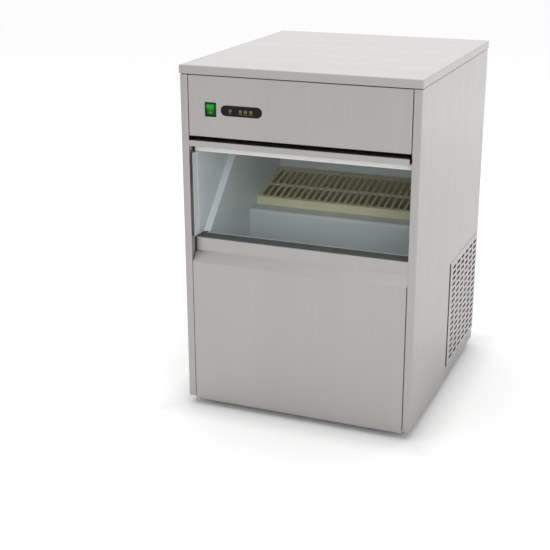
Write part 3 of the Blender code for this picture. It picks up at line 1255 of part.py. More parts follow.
gland = turned([
    (FITTING_R, REAR_INNER - 0.012), (FITTING_R, DEPTH + GAP), (FITTING_R + 0.004, DEPTH + GAP),
    (FITTING_R + 0.004, DEPTH + 0.006), (FITTING_R, DEPTH + 0.008), (0.0085, DEPTH + 0.018),
    (0.0045, DEPTH + 0.018), (0.0045, REAR_INNER - 0.012)], 12, "y", GLAND, closed=True)
piece("cable_gland", gland, BLACK_PLASTIC, smooth=40)

# Electrical box on the deck, with the main board, and the bin's thermostat bulb
BOX_Z = DECK_UNDER + SHEET + GAP
BOX_W = 0.180
BOX_D = 0.120
BOX_H = 0.060
BOX_T = 0.002
BOX_X1 = HALF - 0.049
BOX_X0 = BOX_X1 - BOX_W
BOX_Y0 = 0.070
BOX_Y1 = BOX_Y0 + BOX_D
BOX_POST = 0.012
box = block(BOX_X0, BOX_X1, BOX_Y0, BOX_Y1, BOX_Z, BOX_Z + BOX_H)
box = cut(box, block(
    BOX_X0 + BOX_T, BOX_X1 - BOX_T, BOX_Y0 + BOX_T, BOX_Y1 - BOX_T, BOX_Z + BOX_T,
    BOX_Z + BOX_H + 0.02))
box = join(box, *[
    disc(0.004, "z", (x, y), BOX_Z + BOX_T / 2, BOX_Z + BOX_POST, 8)
    for x in (BOX_X0 + BOX_POST, BOX_X1 - BOX_POST) for y in (BOX_Y0 + BOX_POST, BOX_Y1 - BOX_POST)])
piece("electrical_box", box, BLACK_PLASTIC)
board_z = BOX_Z + BOX_POST + GAP
BOARD_IN = 0.006
BOARD_T = 0.0016
BOARD_PARTS = (
    (0.030, 0.028, 0.030, 0.025, 0.022), (0.075, 0.020, 0.025, 0.015, 0.016),
    (0.100, 0.020, 0.025, 0.015, 0.016), (0.040, 0.100, 0.090, 0.012, 0.012))
board = block(
    BOX_X0 + BOARD_IN, BOX_X1 - BOARD_IN, BOX_Y0 + BOARD_IN, BOX_Y1 - BOARD_IN, board_z,
    board_z + BOARD_T)
board = join(board, *[
    block(BOX_X0 + x, BOX_X0 + x + w, BOX_Y0 + y, BOX_Y0 + y + d, board_z + BOARD_T / 2,
          board_z + h)
    for x, w, y, d, h in BOARD_PARTS])
piece("main_board", board, BOARD_GREEN)
BULB_R = 0.004
BULB_Y = BIN_BACK - 0.152
bulb = turned([
    (0, BULB_Y), (BULB_R, BULB_Y + 0.003), (BULB_R, BULB_Y + 0.097), (0.0015, BULB_Y + 0.102),
    (0.0015, BULB_Y + 0.115)], 10, "y", (LINER_X - GAP - BULB_R, TANK_TOP - 0.042))
piece("thermostat_bulb", bulb, COPPER, smooth=40)
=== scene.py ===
"""Looks for the under-counter ice cube machine: materials, small fittings, light and camera."""

import json
import math

import bmesh
import bpy
from mathutils import Matrix, Vector


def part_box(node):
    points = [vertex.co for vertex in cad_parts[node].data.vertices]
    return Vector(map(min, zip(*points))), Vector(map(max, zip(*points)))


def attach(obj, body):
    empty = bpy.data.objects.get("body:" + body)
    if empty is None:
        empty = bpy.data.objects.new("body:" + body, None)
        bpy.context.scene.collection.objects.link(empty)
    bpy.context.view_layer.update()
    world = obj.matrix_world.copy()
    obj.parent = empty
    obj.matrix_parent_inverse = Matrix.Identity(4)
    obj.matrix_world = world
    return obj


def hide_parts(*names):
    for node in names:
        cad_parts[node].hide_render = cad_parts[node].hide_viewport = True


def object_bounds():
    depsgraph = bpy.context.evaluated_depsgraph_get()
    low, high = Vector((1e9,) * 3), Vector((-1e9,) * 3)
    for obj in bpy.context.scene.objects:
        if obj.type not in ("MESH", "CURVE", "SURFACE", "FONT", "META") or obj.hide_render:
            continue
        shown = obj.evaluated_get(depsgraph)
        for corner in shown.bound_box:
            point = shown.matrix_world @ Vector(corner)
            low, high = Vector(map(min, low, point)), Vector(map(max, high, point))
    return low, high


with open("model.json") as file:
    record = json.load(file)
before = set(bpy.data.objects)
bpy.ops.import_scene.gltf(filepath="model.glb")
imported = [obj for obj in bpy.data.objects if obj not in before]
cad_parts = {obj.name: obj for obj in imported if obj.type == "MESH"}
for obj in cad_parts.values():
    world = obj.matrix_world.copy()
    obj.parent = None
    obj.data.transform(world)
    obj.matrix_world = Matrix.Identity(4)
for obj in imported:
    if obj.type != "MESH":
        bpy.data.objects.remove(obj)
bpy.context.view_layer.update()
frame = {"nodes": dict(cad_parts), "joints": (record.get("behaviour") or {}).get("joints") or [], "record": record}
nodes = frame["nodes"]

# Lengths are in metres throughout

# Screws: a head's radius and height, its profile as shares of the two, and their places
SCREW_HEAD = 0.0034
SCREW_RISE = 0.0014
SCREW_PROFILE = (
    (0, 0), (1, 0), (1, 0.35), (0.93, 0.62), (0.7, 0.9), (0.42, 1),
    (0.30, 0.97), (0.12, 0.55), (0, 0.5))
SCREW_SIDES = 24
VENT_SCREW_DOWN = 0.007
VENT_SCREW_FRONT = 0.080
VENT_SCREW_BACK = 0.050
REAR_SCREW_SIDE = 0.010
REAR_SCREW_END = 0.015

# Marks on the window, measured from its middle and from a ring's centre
MARK_RISE = 0.00025
MARK_GAP = 0.00002
RING_OUT = 0.0028
RING_IN = 0.0021
RING_SIDES = 28
RING_UP = 0.0003
RING_PLACES = (-0.0233, -0.0011, 0.0096, 0.0211)
LINE_HALVES = (0.0022, 0.0034, 0.0040, 0.0042)
LINE_FROM, LINE_TO = 0.0058, 0.0052
DOT_HALF_WIDTH, DOT_HALF_HEIGHT = 0.0004, 0.0010

# Marks on the rocker, in its own space at rest
ROCKER_TILT = math.radians(10)
ROCKER_SLOPE = math.atan2(0.0016, 0.0093)
ROCKER_FACE = -0.0052 + 0.0008 - 0.00005
ROCKER_MARK = 0.0107 * 0.46
ON_HALF_WIDTH, ON_HALF_HEIGHT = 0.0003, 0.0015
OFF_OUT, OFF_IN = 0.0016, 0.0009
OFF_SIDES = 24

# The hem along the front sheet's lower edge
HEM_DROP = 0.0055
HEM_THICK = 0.0022
HEM_STEPS = 8

# The ice grate: how it slopes, its slots, and how far each opens past the plain solid's.
# A row gives where it starts and ends, and how far its two ends move
GRATE_LIP = 0.019
GRATE_PLATE = 0.004
GRATE_RIM = 0.009
SLOT_PITCH = 0.01565
SLOT_HALF = 0.00365
SLOT_SLACK = 0.0003
SLOT_FLANK = 0.75
SLOT_WIDER = 0.0019
SLOT_ROWS = ((0.0345, 0.0855, -0.0020, 0.0025), (0.0945, 0.1555, -0.0035, 0.0045))

# The painted shade under the grate: its colour, and over what it fades in at each edge
UNDER_GRATE_SHADE = (0.56, 0.56, 0.37)
SHADE_FRONT = (0.004, 0.012)
SHADE_TOP = (-0.003, 0.002)
SHADE_SIDE = 0.001

# Colours and finishes that more than one piece shares
STEEL = (0.400, 0.395, 0.378)
STEEL_VARY = 0.045
STEEL_ROUGH = (0.31, 0.40)
LINER = (0.66, 0.735, 0.740)
LINER_ROUGH = 0.32
LINER_GRAIN = 0.02
MOULD_VARY = 0.04
# Strength of the painted glow on the rocker's upper half
ROCKER_PAINTED_GLOW = 0.28
SHARP_ANGLE = math.radians(40)
MERGE = 1e-6

# Floor, surround and lamps
FLOOR = (0.86, 0.86, 0.86)
FLOOR_HALF = 12
FLOOR_BELOW = 0.0002
FLOOR_LIFT = (0.0, 0.24)
LIFT_FROM = (-0.010, 0.070)
WHITE = (1, 1, 1, 1)
SURROUND_LIGHT = 0.85
SURROUND_SEEN = 1.0
LAMPS = (
    ("light_top", (-0.2, 0.2, 2.8), (0, 0, 0.5), (2.4, 2.4), 16),
    ("light_back", (0.3, 3.0, 1.75), (0, 0, 0.7), (5.4, 1.2), 13),
    ("light_side", (1.3, 2.3, 0.32), (0.25, 0, 0.25), (2.0, 0.6), 1.3),
    ("light_front", (1.2, -2.4, 1.25), (0, -0.1, 0.45), (1.2, 1.0), 11))

# The photograph's view: angles, place from the front face and the feet's top, and lens
VIEW_PITCH, VIEW_YAW, VIEW_ROLL = -0.3375, -0.3882, -0.0041
VIEW_SIDE, VIEW_AHEAD, VIEW_UP = 0.7890, -2.0409, 1.0772
FOOT_HEIGHT = 0.018
LENS = 74.957
SENSOR = 36


# Shader pieces

def blank(name, colour, roughness, metallic=0.0):
    """A Principled material and its parts."""
    made = bpy.data.materials.new(name)
    made.use_nodes = True
    tree = made.node_tree
    surface = tree.nodes["Principled BSDF"]
    surface.inputs["Base Color"].default_value = (*colour, 1)
    surface.inputs["Roughness"].default_value = roughness
    surface.inputs["Metallic"].default_value = metallic
    return made, tree, surface


def own_space(tree):
    """A place in the object's own space."""
    return tree.nodes.new("ShaderNodeTexCoord").outputs["Object"]


def axes(tree, place):
    """The X, Y and Z of a place."""
    split = tree.nodes.new("ShaderNodeSeparateXYZ")
    tree.links.new(place, split.inputs["Vector"])
    return split.outputs["X"], split.outputs["Y"], split.outputs["Z"]


def stretched_noise(tree, scale, detail=4.0, seed=0.0):
    """Noise in the object's own space, stretched by a scale along each axis."""
    mapping = tree.nodes.new("ShaderNodeMapping")
    mapping.inputs["Scale"].default_value = scale
    mapping.inputs["Location"].default_value = (seed, seed, seed)
    noise = tree.nodes.new("ShaderNodeTexNoise")
    noise.inputs["Scale"].default_value = 1.0
    noise.inputs["Detail"].default_value = detail
    noise.inputs["Roughness"].default_value = 0.6
    tree.links.new(own_space(tree), mapping.inputs["Vector"])
    tree.links.new(mapping.outputs["Vector"], noise.inputs["Vector"])
    return noise.outputs["Fac"]


def cells(tree, scale):
    """Voronoi cells in the object's own space."""
    made = tree.nodes.new("ShaderNodeTexVoronoi")
    made.inputs["Scale"].default_value = scale
    tree.links.new(own_space(tree), made.inputs["Vector"])
    return made.outputs


def ranged(tree, value, low, high, start=0.3, end=0.7):
    """The value, taken from start..end to low..high."""
    spread = tree.nodes.new("ShaderNodeMapRange")
    spread.inputs["From Min"].default_value = start
    spread.inputs["From Max"].default_value = end
    spread.inputs["To Min"].default_value = low
    spread.inputs["To Max"].default_value = high
    tree.links.new(value, spread.inputs["Value"])
    return spread.outputs["Result"]


def sums(tree, operation, *values):
    """A maths node's result; each value is a number or another node's output."""
    node = tree.nodes.new("ShaderNodeMath")
    node.operation = operation
    for spot, value in zip(node.inputs, values):
        if isinstance(value, (int, float)):
            spot.default_value = value
        else:
            tree.links.new(value, spot)
    return node.outputs[0]


def tinted(tree, value, dark, light):
    """A colour between two, by the value."""
    mix = tree.nodes.new("ShaderNodeMix")
    mix.data_type = "RGBA"
    mix.inputs[6].default_value = (*dark, 1)
    mix.inputs[7].default_value = (*light, 1)
    tree.links.new(value, mix.inputs[0])
    return mix.outputs[2]


def shades(colour, vary):
    """The colour a little darker and a little lighter."""
    return (tuple(c * (1 - vary) for c in colour),
            tuple(min(1, c * (1 + vary)) for c in colour))


def bumped(tree, surface, value, strength, distance):
    """Fine relief on a surface, by the value."""
    bump = tree.nodes.new("ShaderNodeBump")
    bump.inputs["Strength"].default_value = strength
    bump.inputs["Distance"].default_value = distance
    tree.links.new(value, bump.inputs["Height"])
    tree.links.new(bump.outputs["Normal"], surface.inputs["Normal"])


# Materials

def brushed_steel(name, along):
    """Stainless sheet: faint lines along one axis, in soft bands that run the same way."""
    made, tree, surface = blank(name, STEEL, 0.35, 1.0)
    fine = {"x": (5, 700, 700), "z": (700, 700, 5)}[along]
    wide = {"x": (0.8, 16, 16), "z": (16, 16, 0.8)}[along]
    grain = stretched_noise(tree, fine, 3.0)
    cloud = stretched_noise(tree, wide, 2.0, 7.0)
    both = sums(tree, "MULTIPLY_ADD", cloud, 0.75, ranged(tree, grain, 0.0, 0.25))
    tone = ranged(tree, both, 0.0, 1.0, 0.2, 0.8)
    tree.links.new(
        tinted(tree, tone, *shades(STEEL, STEEL_VARY)), surface.inputs["Base Color"])
    tree.links.new(ranged(tree, grain, *STEEL_ROUGH), surface.inputs["Roughness"])
    bumped(tree, surface, grain, 0.03, 0.0002)
    return made


def galvanized():
    """Sheet with a dull spangled zinc coat."""
    made, tree, surface = blank("galvanized", (0.385, 0.382, 0.368), 0.45, 1.0)
    spangle = cells(tree, 60)
    tone = tinted(tree, spangle["Color"], (0.350, 0.347, 0.333), (0.425, 0.421, 0.406))
    tree.links.new(tone, surface.inputs["Base Color"])
    tree.links.new(
        ranged(tree, spangle["Distance"], 0.38, 0.55, 0, 1), surface.inputs["Roughness"])
    return made


def moulded(name, colour, roughness, grain=0.04, scale=900, coat=0.0, shine=0.5):
    """Moulded plastic: faint grain and a slow change of tone."""
    made, tree, surface = blank(name, colour, roughness)
    slow = stretched_noise(tree, (9, 9, 9), 3.0, 3.0)
    fine = stretched_noise(tree, (scale, scale, scale), 2.0)
    tree.links.new(
        tinted(tree, slow, *shades(colour, MOULD_VARY)), surface.inputs["Base Color"])
    tree.links.new(
        ranged(tree, fine, roughness - 0.04, roughness + 0.05), surface.inputs["Roughness"])
    surface.inputs["Specular IOR Level"].default_value = shine
    if coat:
        surface.inputs["Coat Weight"].default_value = coat
        surface.inputs["Coat Roughness"].default_value = 0.12
    bumped(tree, surface, fine, grain, 0.0003)
    return made


def rubber():
    """Dull moulded rubber."""
    made, tree, surface = blank("rubber", (0.078, 0.083, 0.077), 0.7)
    fine = stretched_noise(tree, (600, 600, 600), 3.0)
    tone = tinted(tree, fine, (0.062, 0.067, 0.063), (0.097, 0.104, 0.098))
    tree.links.new(tone, surface.inputs["Base Color"])
    tree.links.new(ranged(tree, fine, 0.6, 0.8), surface.inputs["Roughness"])
    bumped(tree, surface, fine, 0.15, 0.0004)
    return made


def foam():
    """Rigid foam, coloured near-black as painted shade where it shows through the gaps."""
    # Painted shade: near-black so the gaps in front of the foam read as dark
    made, tree, surface = blank("foam", (0.055, 0.053, 0.046), 0.9)
    depth = cells(tree, 500)["Distance"]
    tone = tinted(tree, depth, (0.064, 0.062, 0.054), (0.040, 0.038, 0.033))
    tree.links.new(tone, surface.inputs["Base Color"])
    bumped(tree, surface, depth, 0.3, 0.0006)
    return made


def metal(name, colour, roughness, vary=0.08, scale=60):
    """Drawn, cast or plated metal with a slow change of tone."""
    made, tree, surface = blank(name, colour, roughness, 1.0)
    slow = stretched_noise(tree, (scale, scale, scale), 4.0)
    tree.links.new(tinted(tree, slow, *shades(colour, vary)), surface.inputs["Base Color"])
    tree.links.new(
        ranged(tree, slow, max(0.05, roughness - 0.08), roughness + 0.08),
        surface.inputs["Roughness"])
    return made


def green_painted_glow():
    """The rocker's clear green plastic, with a painted glow that rises towards its upper edge."""
    made, tree, surface = blank("green_painted_glow", (0.008, 0.16, 0.008), 0.30)
    height = axes(tree, own_space(tree))[2]
    low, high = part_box("power_rocker")
    # Painted glow: emission rises from just below the rocker's middle to its upper edge
    painted_glow = ranged(
        tree, height, 0.0, ROCKER_PAINTED_GLOW, (low[2] + high[2]) / 2 - 0.003, high[2] - 0.002)
    fine = stretched_noise(tree, (500, 500, 500), 2.0)
    tree.links.new(
        tinted(tree, fine, (0.006, 0.115, 0.007), (0.010, 0.156, 0.011)),
        surface.inputs["Base Color"])
    surface.inputs["Emission Color"].default_value = (0.02, 0.9, 0.03, 1)
    tree.links.new(painted_glow, surface.inputs["Emission Strength"])
    surface.inputs["Specular IOR Level"].default_value = 0.12
    return made


def dark_window():
    """The indicator window's smoked plastic."""
    made, tree, surface = blank("window_plastic", (0.012, 0.011, 0.011), 0.35)
    fine = stretched_noise(tree, (400, 400, 400), 2.0)
    tree.links.new(
        tinted(tree, fine, (0.010, 0.009, 0.009), (0.016, 0.015, 0.014)),
        surface.inputs["Base Color"])
    tree.links.new(ranged(tree, fine, 0.30, 0.40), surface.inputs["Roughness"])
    surface.inputs["Specular IOR Level"].default_value = 0.10
    return made


def printed(name, colour):
    """Ink of one colour, slightly uneven in its shine."""
    made, tree, surface = blank(name, colour, 0.5)
    fine = stretched_noise(tree, (700, 700, 700), 2.0)
    tree.links.new(ranged(tree, fine, 0.45, 0.55), surface.inputs["Roughness"])
    return made


def grate_slope():
    """How much the grate rises for each metre to the back."""
    low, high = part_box("ice_grate")
    return (high[2] - low[2] - GRATE_LIP) / (high[1] - low[1])


def under_grate(name):
    """The liner's plastic, with a painted olive shade on what lies under the grate."""
    made = moulded(name, LINER, LINER_ROUGH, LINER_GRAIN)
    tree = made.node_tree
    surface = tree.nodes["Principled BSDF"]
    clean = surface.inputs["Base Color"].links[0].from_socket
    across, back, up = axes(tree, own_space(tree))
    low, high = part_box("ice_grate")
    slope = grate_slope()
    under = low[2] + GRATE_LIP - GRATE_PLATE - slope * low[1]
    level = sums(tree, "MULTIPLY_ADD", back, -slope, up)
    side = sums(tree, "ABSOLUTE", across)
    value = ranged(tree, back, 0.0, 1.0, *(low[1] + edge for edge in SHADE_FRONT))
    for other in (
            ranged(tree, level, 1.0, 0.0, *(under + edge for edge in SHADE_TOP)),
            ranged(tree, side, 1.0, 0.0, high[0], high[0] + SHADE_SIDE)):
        value = sums(tree, "MULTIPLY", value, other)
    # Painted shade: what lies under the grate is mixed towards a darker olive
    painted_shade = tree.nodes.new("ShaderNodeMix")
    painted_shade.data_type = "RGBA"
    tree.links.new(value, painted_shade.inputs[0])
    tree.links.new(clean, painted_shade.inputs[6])
    painted_shade.inputs[7].default_value = (*UNDER_GRATE_SHADE, 1)
    tree.links.new(painted_shade.outputs[2], surface.inputs["Base Color"])
    return made


LID_STEEL = brushed_steel("steel_lines_x", "x")
LOOKS = {
    "steel": brushed_steel("steel_lines_z", "z"),
    "galvanized": galvanized(),
    "liner_plastic": moulded("liner_plastic", LINER, LINER_ROUGH, LINER_GRAIN),
    "grate_plastic": moulded("grate_plastic", (0.72, 0.69, 0.49), 0.45, 0.05),
    "black_plastic": moulded("black_plastic", (0.010, 0.011, 0.010), 0.45, 0.08, shine=0.2),
    "window_plastic": dark_window(),
    "green_plastic": green_painted_glow(),
    "white_plastic": moulded("white_plastic", (0.74, 0.74, 0.71), 0.42, 0.03),
    "rubber": rubber(),
    "foam": foam(),
    "copper": metal("copper", (0.66, 0.32, 0.19), 0.28, 0.15, 40),
    "tinned_copper": metal("tinned_copper", (0.62, 0.58, 0.52), 0.32),
    "aluminium": metal("aluminium", (0.60, 0.61, 0.62), 0.35),
    "black_enamel": moulded("black_enamel", (0.016, 0.016, 0.016), 0.3, 0.03, coat=0.3),
    "circuit_board": moulded("circuit_board", (0.02, 0.13, 0.05), 0.4, 0.05, 1500),
    "brass": metal("brass", (0.66, 0.48, 0.20), 0.3),
}
# The tank and liner carry the painted shade under the grate
NODE_LOOKS = {
    "water_tank": under_grate("tank_plastic"),
    "liner": under_grate("liner_walls"),
    "top_lid": LID_STEEL,
}
for entry in frame["record"]["subparts"]:
    node = nodes[entry["node"]]
    look = NODE_LOOKS.get(entry["node"], LOOKS[entry["material_slot"]])
    if not node.material_slots:
        node.data.materials.append(look)
    for spot in node.material_slots:
        spot.material = look


# Small pieces

def finish_piece(name, solid, look, body, smooth=False):
    """A named piece from a bmesh, with its look and its body."""
    mesh = bpy.data.meshes.new(name)
    solid.to_mesh(mesh)
    solid.free()
    mesh.materials.append(look)
    if smooth:
        mesh.shade_smooth()
        mesh.set_sharp_from_angle(angle=SHARP_ANGLE)
    made = bpy.data.objects.new(name, mesh)
    bpy.context.scene.collection.objects.link(made)
    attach(made, body)
    return made


def circle(radius, sides):
    """Points round a circle, as pairs."""
    return [(radius * math.cos(2 * math.pi * i / sides), radius * math.sin(2 * math.pi * i / sides))
            for i in range(sides)]


def lathe(solid, profile, centre, turn, sides):
    """Adds a turned form to a bmesh: profile pairs are radius and height along its own Z."""
    loops = []
    for radius, height in profile:
        spots = circle(radius, sides) if radius > 0 else [(0, 0)]
        loops.append([solid.verts.new(centre + turn @ Vector((x, y, height))) for x, y in spots])
    for low, high in zip(loops, loops[1:]):
        for i in range(sides):
            j = (i + 1) % sides
            if len(high) == 1:
                solid.faces.new((low[i], low[j], high[0]))
            elif len(low) == 1:
                solid.faces.new((low[0], high[j], high[i]))
            else:
                solid.faces.new((low[i], low[j], high[j], high[i]))


# Turns that point a turned form's own Z out of a face
OUT = {
    "+x": Matrix.Rotation(math.pi / 2, 3, "Y"),
    "+y": Matrix.Rotation(-math.pi / 2, 3, "X"),
    "-y": Matrix.Rotation(math.pi / 2, 3, "X"),
}


def screws(name, spots, way):
    """Pan-head screws with a round dip, each standing on a face."""
    solid = bmesh.new()
    profile = [(SCREW_HEAD * radius, SCREW_RISE * height) for radius, height in SCREW_PROFILE]
    for spot in spots:
        lathe(solid, profile, Vector(spot), OUT[way], SCREW_SIDES)
    bmesh.ops.recalc_face_normals(solid, faces=solid.faces)
    finish_piece(name, solid, LOOKS["aluminium"], "cabinet", True)


def bar(solid, x0, x1, y0, y1, z0, z1, lean=None):
    """Adds a small box, turned by lean when given."""
    corners = [(x, y, z) for z in (z0, z1) for x, y in ((x0, y0), (x1, y0), (x1, y1), (x0, y1))]
    points = [Vector(c) for c in corners]
    if lean:
        points = [lean @ p for p in points]
    verts = [solid.verts.new(p) for p in points]
    for face in (
            (3, 2, 1, 0), (4, 5, 6, 7), (0, 1, 5, 4),
            (1, 2, 6, 5), (2, 3, 7, 6), (3, 0, 4, 7)):
        solid.faces.new([verts[i] for i in face])


def window_marks():
    """Indicator rings with a tiny mark in and under each."""
    low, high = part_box("indicator_window")
    y = low[1] - MARK_GAP
    z = (low[2] + high[2]) / 2 + RING_UP
    spots = [(low[0] + high[0]) / 2 + place for place in RING_PLACES]
    profile = [
        (RING_IN, 0.0), (RING_OUT, 0.0), (RING_OUT, MARK_RISE), (RING_IN, MARK_RISE),
        (RING_IN, 0.0)]
    solid = bmesh.new()
    for x in spots:
        lathe(solid, profile, Vector((x, y, z)), OUT["-y"], RING_SIDES)
    bmesh.ops.remove_doubles(solid, verts=solid.verts, dist=MERGE)
    bmesh.ops.recalc_face_normals(solid, faces=solid.faces)
    yellow = printed("mark_yellow", (0.46, 0.39, 0.10))
    finish_piece("window_rings", solid, yellow, "cabinet")
    solid = bmesh.new()
    for x, half in zip(spots, LINE_HALVES):
        bar(solid, x - half, x + half, y - MARK_RISE, y, z - LINE_FROM, z - LINE_TO)
    for x in spots[1:]:
        bar(solid, x - DOT_HALF_WIDTH, x + DOT_HALF_WIDTH, y - MARK_RISE, y,
            z - DOT_HALF_HEIGHT, z + DOT_HALF_HEIGHT)
    dim = printed("mark_dim", (0.30, 0.25, 0.08))
    finish_piece("window_lines", solid, dim, "cabinet")


def rocker_marks():
    """A bar and a ring on the rocker's two halves, for on and off."""
    joint = next(j for j in frame["joints"] if j["name"] == "rocker_turn")
    seat = Matrix.Translation(Vector(joint["pos_m"])) @ Matrix.Rotation(ROCKER_TILT, 4, "X")
    upper, lower = (
        seat @ Matrix.Translation((0, ROCKER_FACE, way * ROCKER_MARK))
        @ Matrix.Rotation(way * ROCKER_SLOPE, 4, "X") for way in (1, -1))
    solid = bmesh.new()
    bar(solid, -ON_HALF_WIDTH, ON_HALF_WIDTH, -MARK_RISE, 0.0,
        -ON_HALF_HEIGHT, ON_HALF_HEIGHT, upper)
    loops = [
        [solid.verts.new(lower @ Vector((x, depth, z))) for x, z in circle(radius, OFF_SIDES)]
        for radius in (OFF_OUT, OFF_IN) for depth in (0.0, -MARK_RISE)]
    for a, b in ((0, 1), (1, 3), (3, 2), (2, 0)):
        for k in range(OFF_SIDES):
            n = (k + 1) % OFF_SIDES
            solid.faces.new((loops[a][k], loops[a][n], loops[b][n], loops[b][k]))
    bmesh.ops.recalc_face_normals(solid, faces=solid.faces)
    pale = printed("mark_pale", (0.22, 0.50, 0.34))
    finish_piece("rocker_marks", solid, pale, "power_rocker")


def rear_screws(name, low, high, heights):
    """Screws down both sides of a rear sheet."""
    screws(name, [(x, high[1], z) for x in (low[0] + REAR_SCREW_SIDE, high[0] - REAR_SCREW_SIDE)
                  for z in heights], "+y")


def panel_screws():
    """Screws on the vent panel's top strip and round the rear sheets."""
    low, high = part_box("vent_panel")
    z = high[2] - VENT_SCREW_DOWN
    screws("vent_screws", [
        (high[0], low[1] + VENT_SCREW_FRONT, z), (high[0], high[1] - VENT_SCREW_BACK, z)], "+x")
    low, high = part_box("rear_panel")
    rear_screws("rear_panel_screws", low, high, (
        low[2] + REAR_SCREW_END, (low[2] + high[2]) / 2, high[2] - REAR_SCREW_END))
    low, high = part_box("rear_cover")
    rear_screws("rear_cover_screws", low, high, (
        low[2] + REAR_SCREW_END, high[2] - REAR_SCREW_END))


def front_hem():
    """The folded hem along the front sheet's lower edge."""
    low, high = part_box("lower_front_panel")
    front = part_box("control_panel")[0][1]
    bend = HEM_THICK / 2
    foot = low[2] - HEM_DROP
    profile = [(front, low[2])]
    for k in range(HEM_STEPS + 1):
        turn = math.pi * k / HEM_STEPS
        profile.append((front + bend - bend * math.cos(turn), foot + bend - bend * math.sin(turn)))
    profile.append((front + HEM_THICK, low[2]))
    solid = bmesh.new()
    ends = [[solid.verts.new((x, y, z)) for y, z in profile] for x in (low[0], high[0])]
    for i in range(len(profile)):
        j = (i + 1) % len(profile)
        solid.faces.new((ends[0][i], ends[0][j], ends[1][j], ends[1][i]))
    for end in ends:
        solid.faces.new(end)
    bmesh.ops.recalc_face_normals(solid, faces=solid.faces)
    finish_piece("front_hem", solid, LOOKS["steel"], "cabinet", True)


def open_grate():
    """The ice grate with its slots opened to the width and length that they show."""
    solid = bmesh.new()
    solid.from_mesh(nodes["ice_grate"].data)
    bmesh.ops.remove_doubles(solid, verts=solid.verts, dist=MERGE)
    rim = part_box("ice_grate")[1][0] - GRATE_RIM
    slope = grate_slope()
    for vert in solid.verts:
        row = next((r for r in SLOT_ROWS if r[0] < vert.co.y < r[1]), None)
        reach = vert.co.x - round(vert.co.x / SLOT_PITCH) * SLOT_PITCH
        if row is None or abs(reach) > SLOT_HALF + SLOT_SLACK or abs(vert.co.x) > rim:
            continue
        wider = SLOT_WIDER if abs(reach) > SLOT_HALF * SLOT_FLANK else SLOT_WIDER / 2
        vert.co.x += math.copysign(wider, reach)
        shift = row[2] if vert.co.y < (row[0] + row[1]) / 2 else row[3]
        vert.co.y += shift
        vert.co.z += shift * slope
    made = finish_piece("open_grate", solid, LOOKS["grate_plastic"], "cabinet")
    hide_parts("ice_grate")


window_marks()
rocker_marks()
panel_screws()
front_hem()
open_grate()


# Stage, light and camera

def seen_directly(tree):
    """1 for what the camera sees, by itself or in a mirror or glass, and 0 for light."""
    path = tree.nodes.new("ShaderNodeLightPath").outputs
    clear = sums(tree, "MAXIMUM", path["Is Glossy Ray"], path["Is Transmission Ray"])
    return sums(tree, "MAXIMUM", path["Is Camera Ray"], clear)


def make_floor():
    """A pale floor, lifted to the background's white without losing the shadow."""
    low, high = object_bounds()
    solid = bmesh.new()
    bmesh.ops.create_grid(solid, x_segments=1, y_segments=1, size=FLOOR_HALF)
    mesh = bpy.data.meshes.new("floor")
    solid.to_mesh(mesh)
    solid.free()
    floor = bpy.data.objects.new("floor", mesh)
    bpy.context.scene.collection.objects.link(floor)
    floor.location.z = low[2] - FLOOR_BELOW
    made, tree, surface = blank("floor", FLOOR, 0.9)
    tree.nodes.remove(surface)
    matte = tree.nodes.new("ShaderNodeBsdfDiffuse")
    matte.inputs["Color"].default_value = (*FLOOR, 1)
    white = tree.nodes.new("ShaderNodeEmission")
    white.inputs["Color"].default_value = WHITE
    side = tree.nodes.new("ShaderNodeVectorMath")
    side.operation = "ABSOLUTE"
    tree.links.new(own_space(tree), side.inputs[0])
    clear = tree.nodes.new("ShaderNodeVectorMath")
    clear.operation = "SUBTRACT"
    clear.inputs[1].default_value = (high[0], high[1], 0)
    tree.links.new(side.outputs["Vector"], clear.inputs[0])
    away = sums(tree, "MAXIMUM", *axes(tree, clear.outputs["Vector"])[:2])
    lift = sums(tree, "MULTIPLY", seen_directly(tree), ranged(tree, away, *FLOOR_LIFT, *LIFT_FROM))
    tree.links.new(lift, white.inputs["Strength"])
    both = tree.nodes.new("ShaderNodeAddShader")
    tree.links.new(matte.outputs[0], both.inputs[0])
    tree.links.new(white.outputs[0], both.inputs[1])
    tree.links.new(both.outputs[0], tree.nodes["Material Output"].inputs["Surface"])
    mesh.materials.append(made)


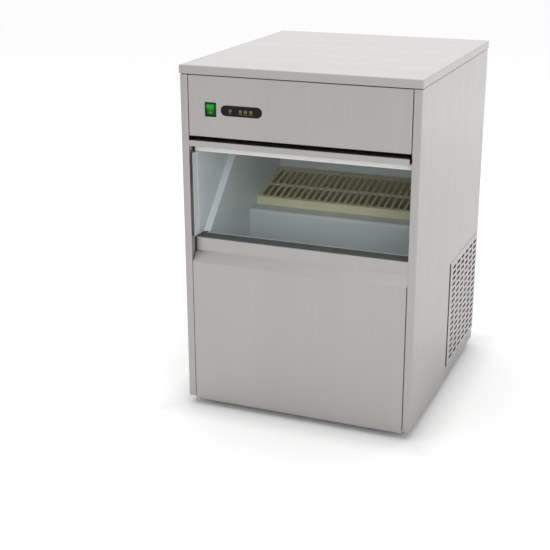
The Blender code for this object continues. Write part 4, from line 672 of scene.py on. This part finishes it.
def make_world():
    """A white surround, a little brighter to the camera than as light."""
    world = bpy.data.worlds.new("studio")
    bpy.context.scene.world = world
    world.use_nodes = True
    tree = world.node_tree
    tree.nodes.clear()
    mix = tree.nodes.new("ShaderNodeMixShader")
    tree.links.new(seen_directly(tree), mix.inputs[0])
    for spot, strength in ((1, SURROUND_LIGHT), (2, SURROUND_SEEN)):
        white = tree.nodes.new("ShaderNodeBackground")
        white.inputs["Color"].default_value = WHITE
        white.inputs["Strength"].default_value = strength
        tree.links.new(white.outputs[0], mix.inputs[spot])
    out = tree.nodes.new("ShaderNodeOutputWorld")
    tree.links.new(mix.outputs[0], out.inputs["Surface"])


def softbox(name, place, aim, size, power):
    """A rectangular lamp that the camera doesn't see."""
    lamp = bpy.data.lights.new(name, "AREA")
    lamp.shape = "RECTANGLE"
    lamp.size, lamp.size_y = size
    lamp.energy = power
    made = bpy.data.objects.new(name, lamp)
    bpy.context.scene.collection.objects.link(made)
    made.location = place
    made.rotation_euler = (Vector(aim) - Vector(place)).to_track_quat("-Z", "Y").to_euler()
    made.visible_camera = False


def make_camera():
    """The photograph's view, solved from the cabinet's corners."""
    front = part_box("control_panel")[0][1]
    place = Vector((VIEW_SIDE, front + VIEW_AHEAD, VIEW_UP + FOOT_HEIGHT))
    ahead = Vector((
        math.sin(VIEW_YAW) * math.cos(VIEW_PITCH), math.cos(VIEW_YAW) * math.cos(VIEW_PITCH),
        math.sin(VIEW_PITCH)))
    right = Vector((math.cos(VIEW_YAW), -math.sin(VIEW_YAW), 0))
    up = right.cross(ahead)
    side = right * math.cos(VIEW_ROLL) + up * math.sin(VIEW_ROLL)
    top = up * math.cos(VIEW_ROLL) - right * math.sin(VIEW_ROLL)
    turn = Matrix((side, top, -ahead)).transposed()
    lens = bpy.data.cameras.new("view")
    lens.lens = LENS
    lens.sensor_width = SENSOR
    lens.clip_start = 0.01
    camera = bpy.data.objects.new("view", lens)
    bpy.context.scene.collection.objects.link(camera)
    camera.matrix_world = Matrix.Translation(place) @ turn.to_4x4()
    bpy.context.scene.camera = camera


make_floor()
make_world()
for lamp in LAMPS:
    softbox(*lamp)
make_camera()
bpy.context.scene.view_settings.view_transform = "Standard"
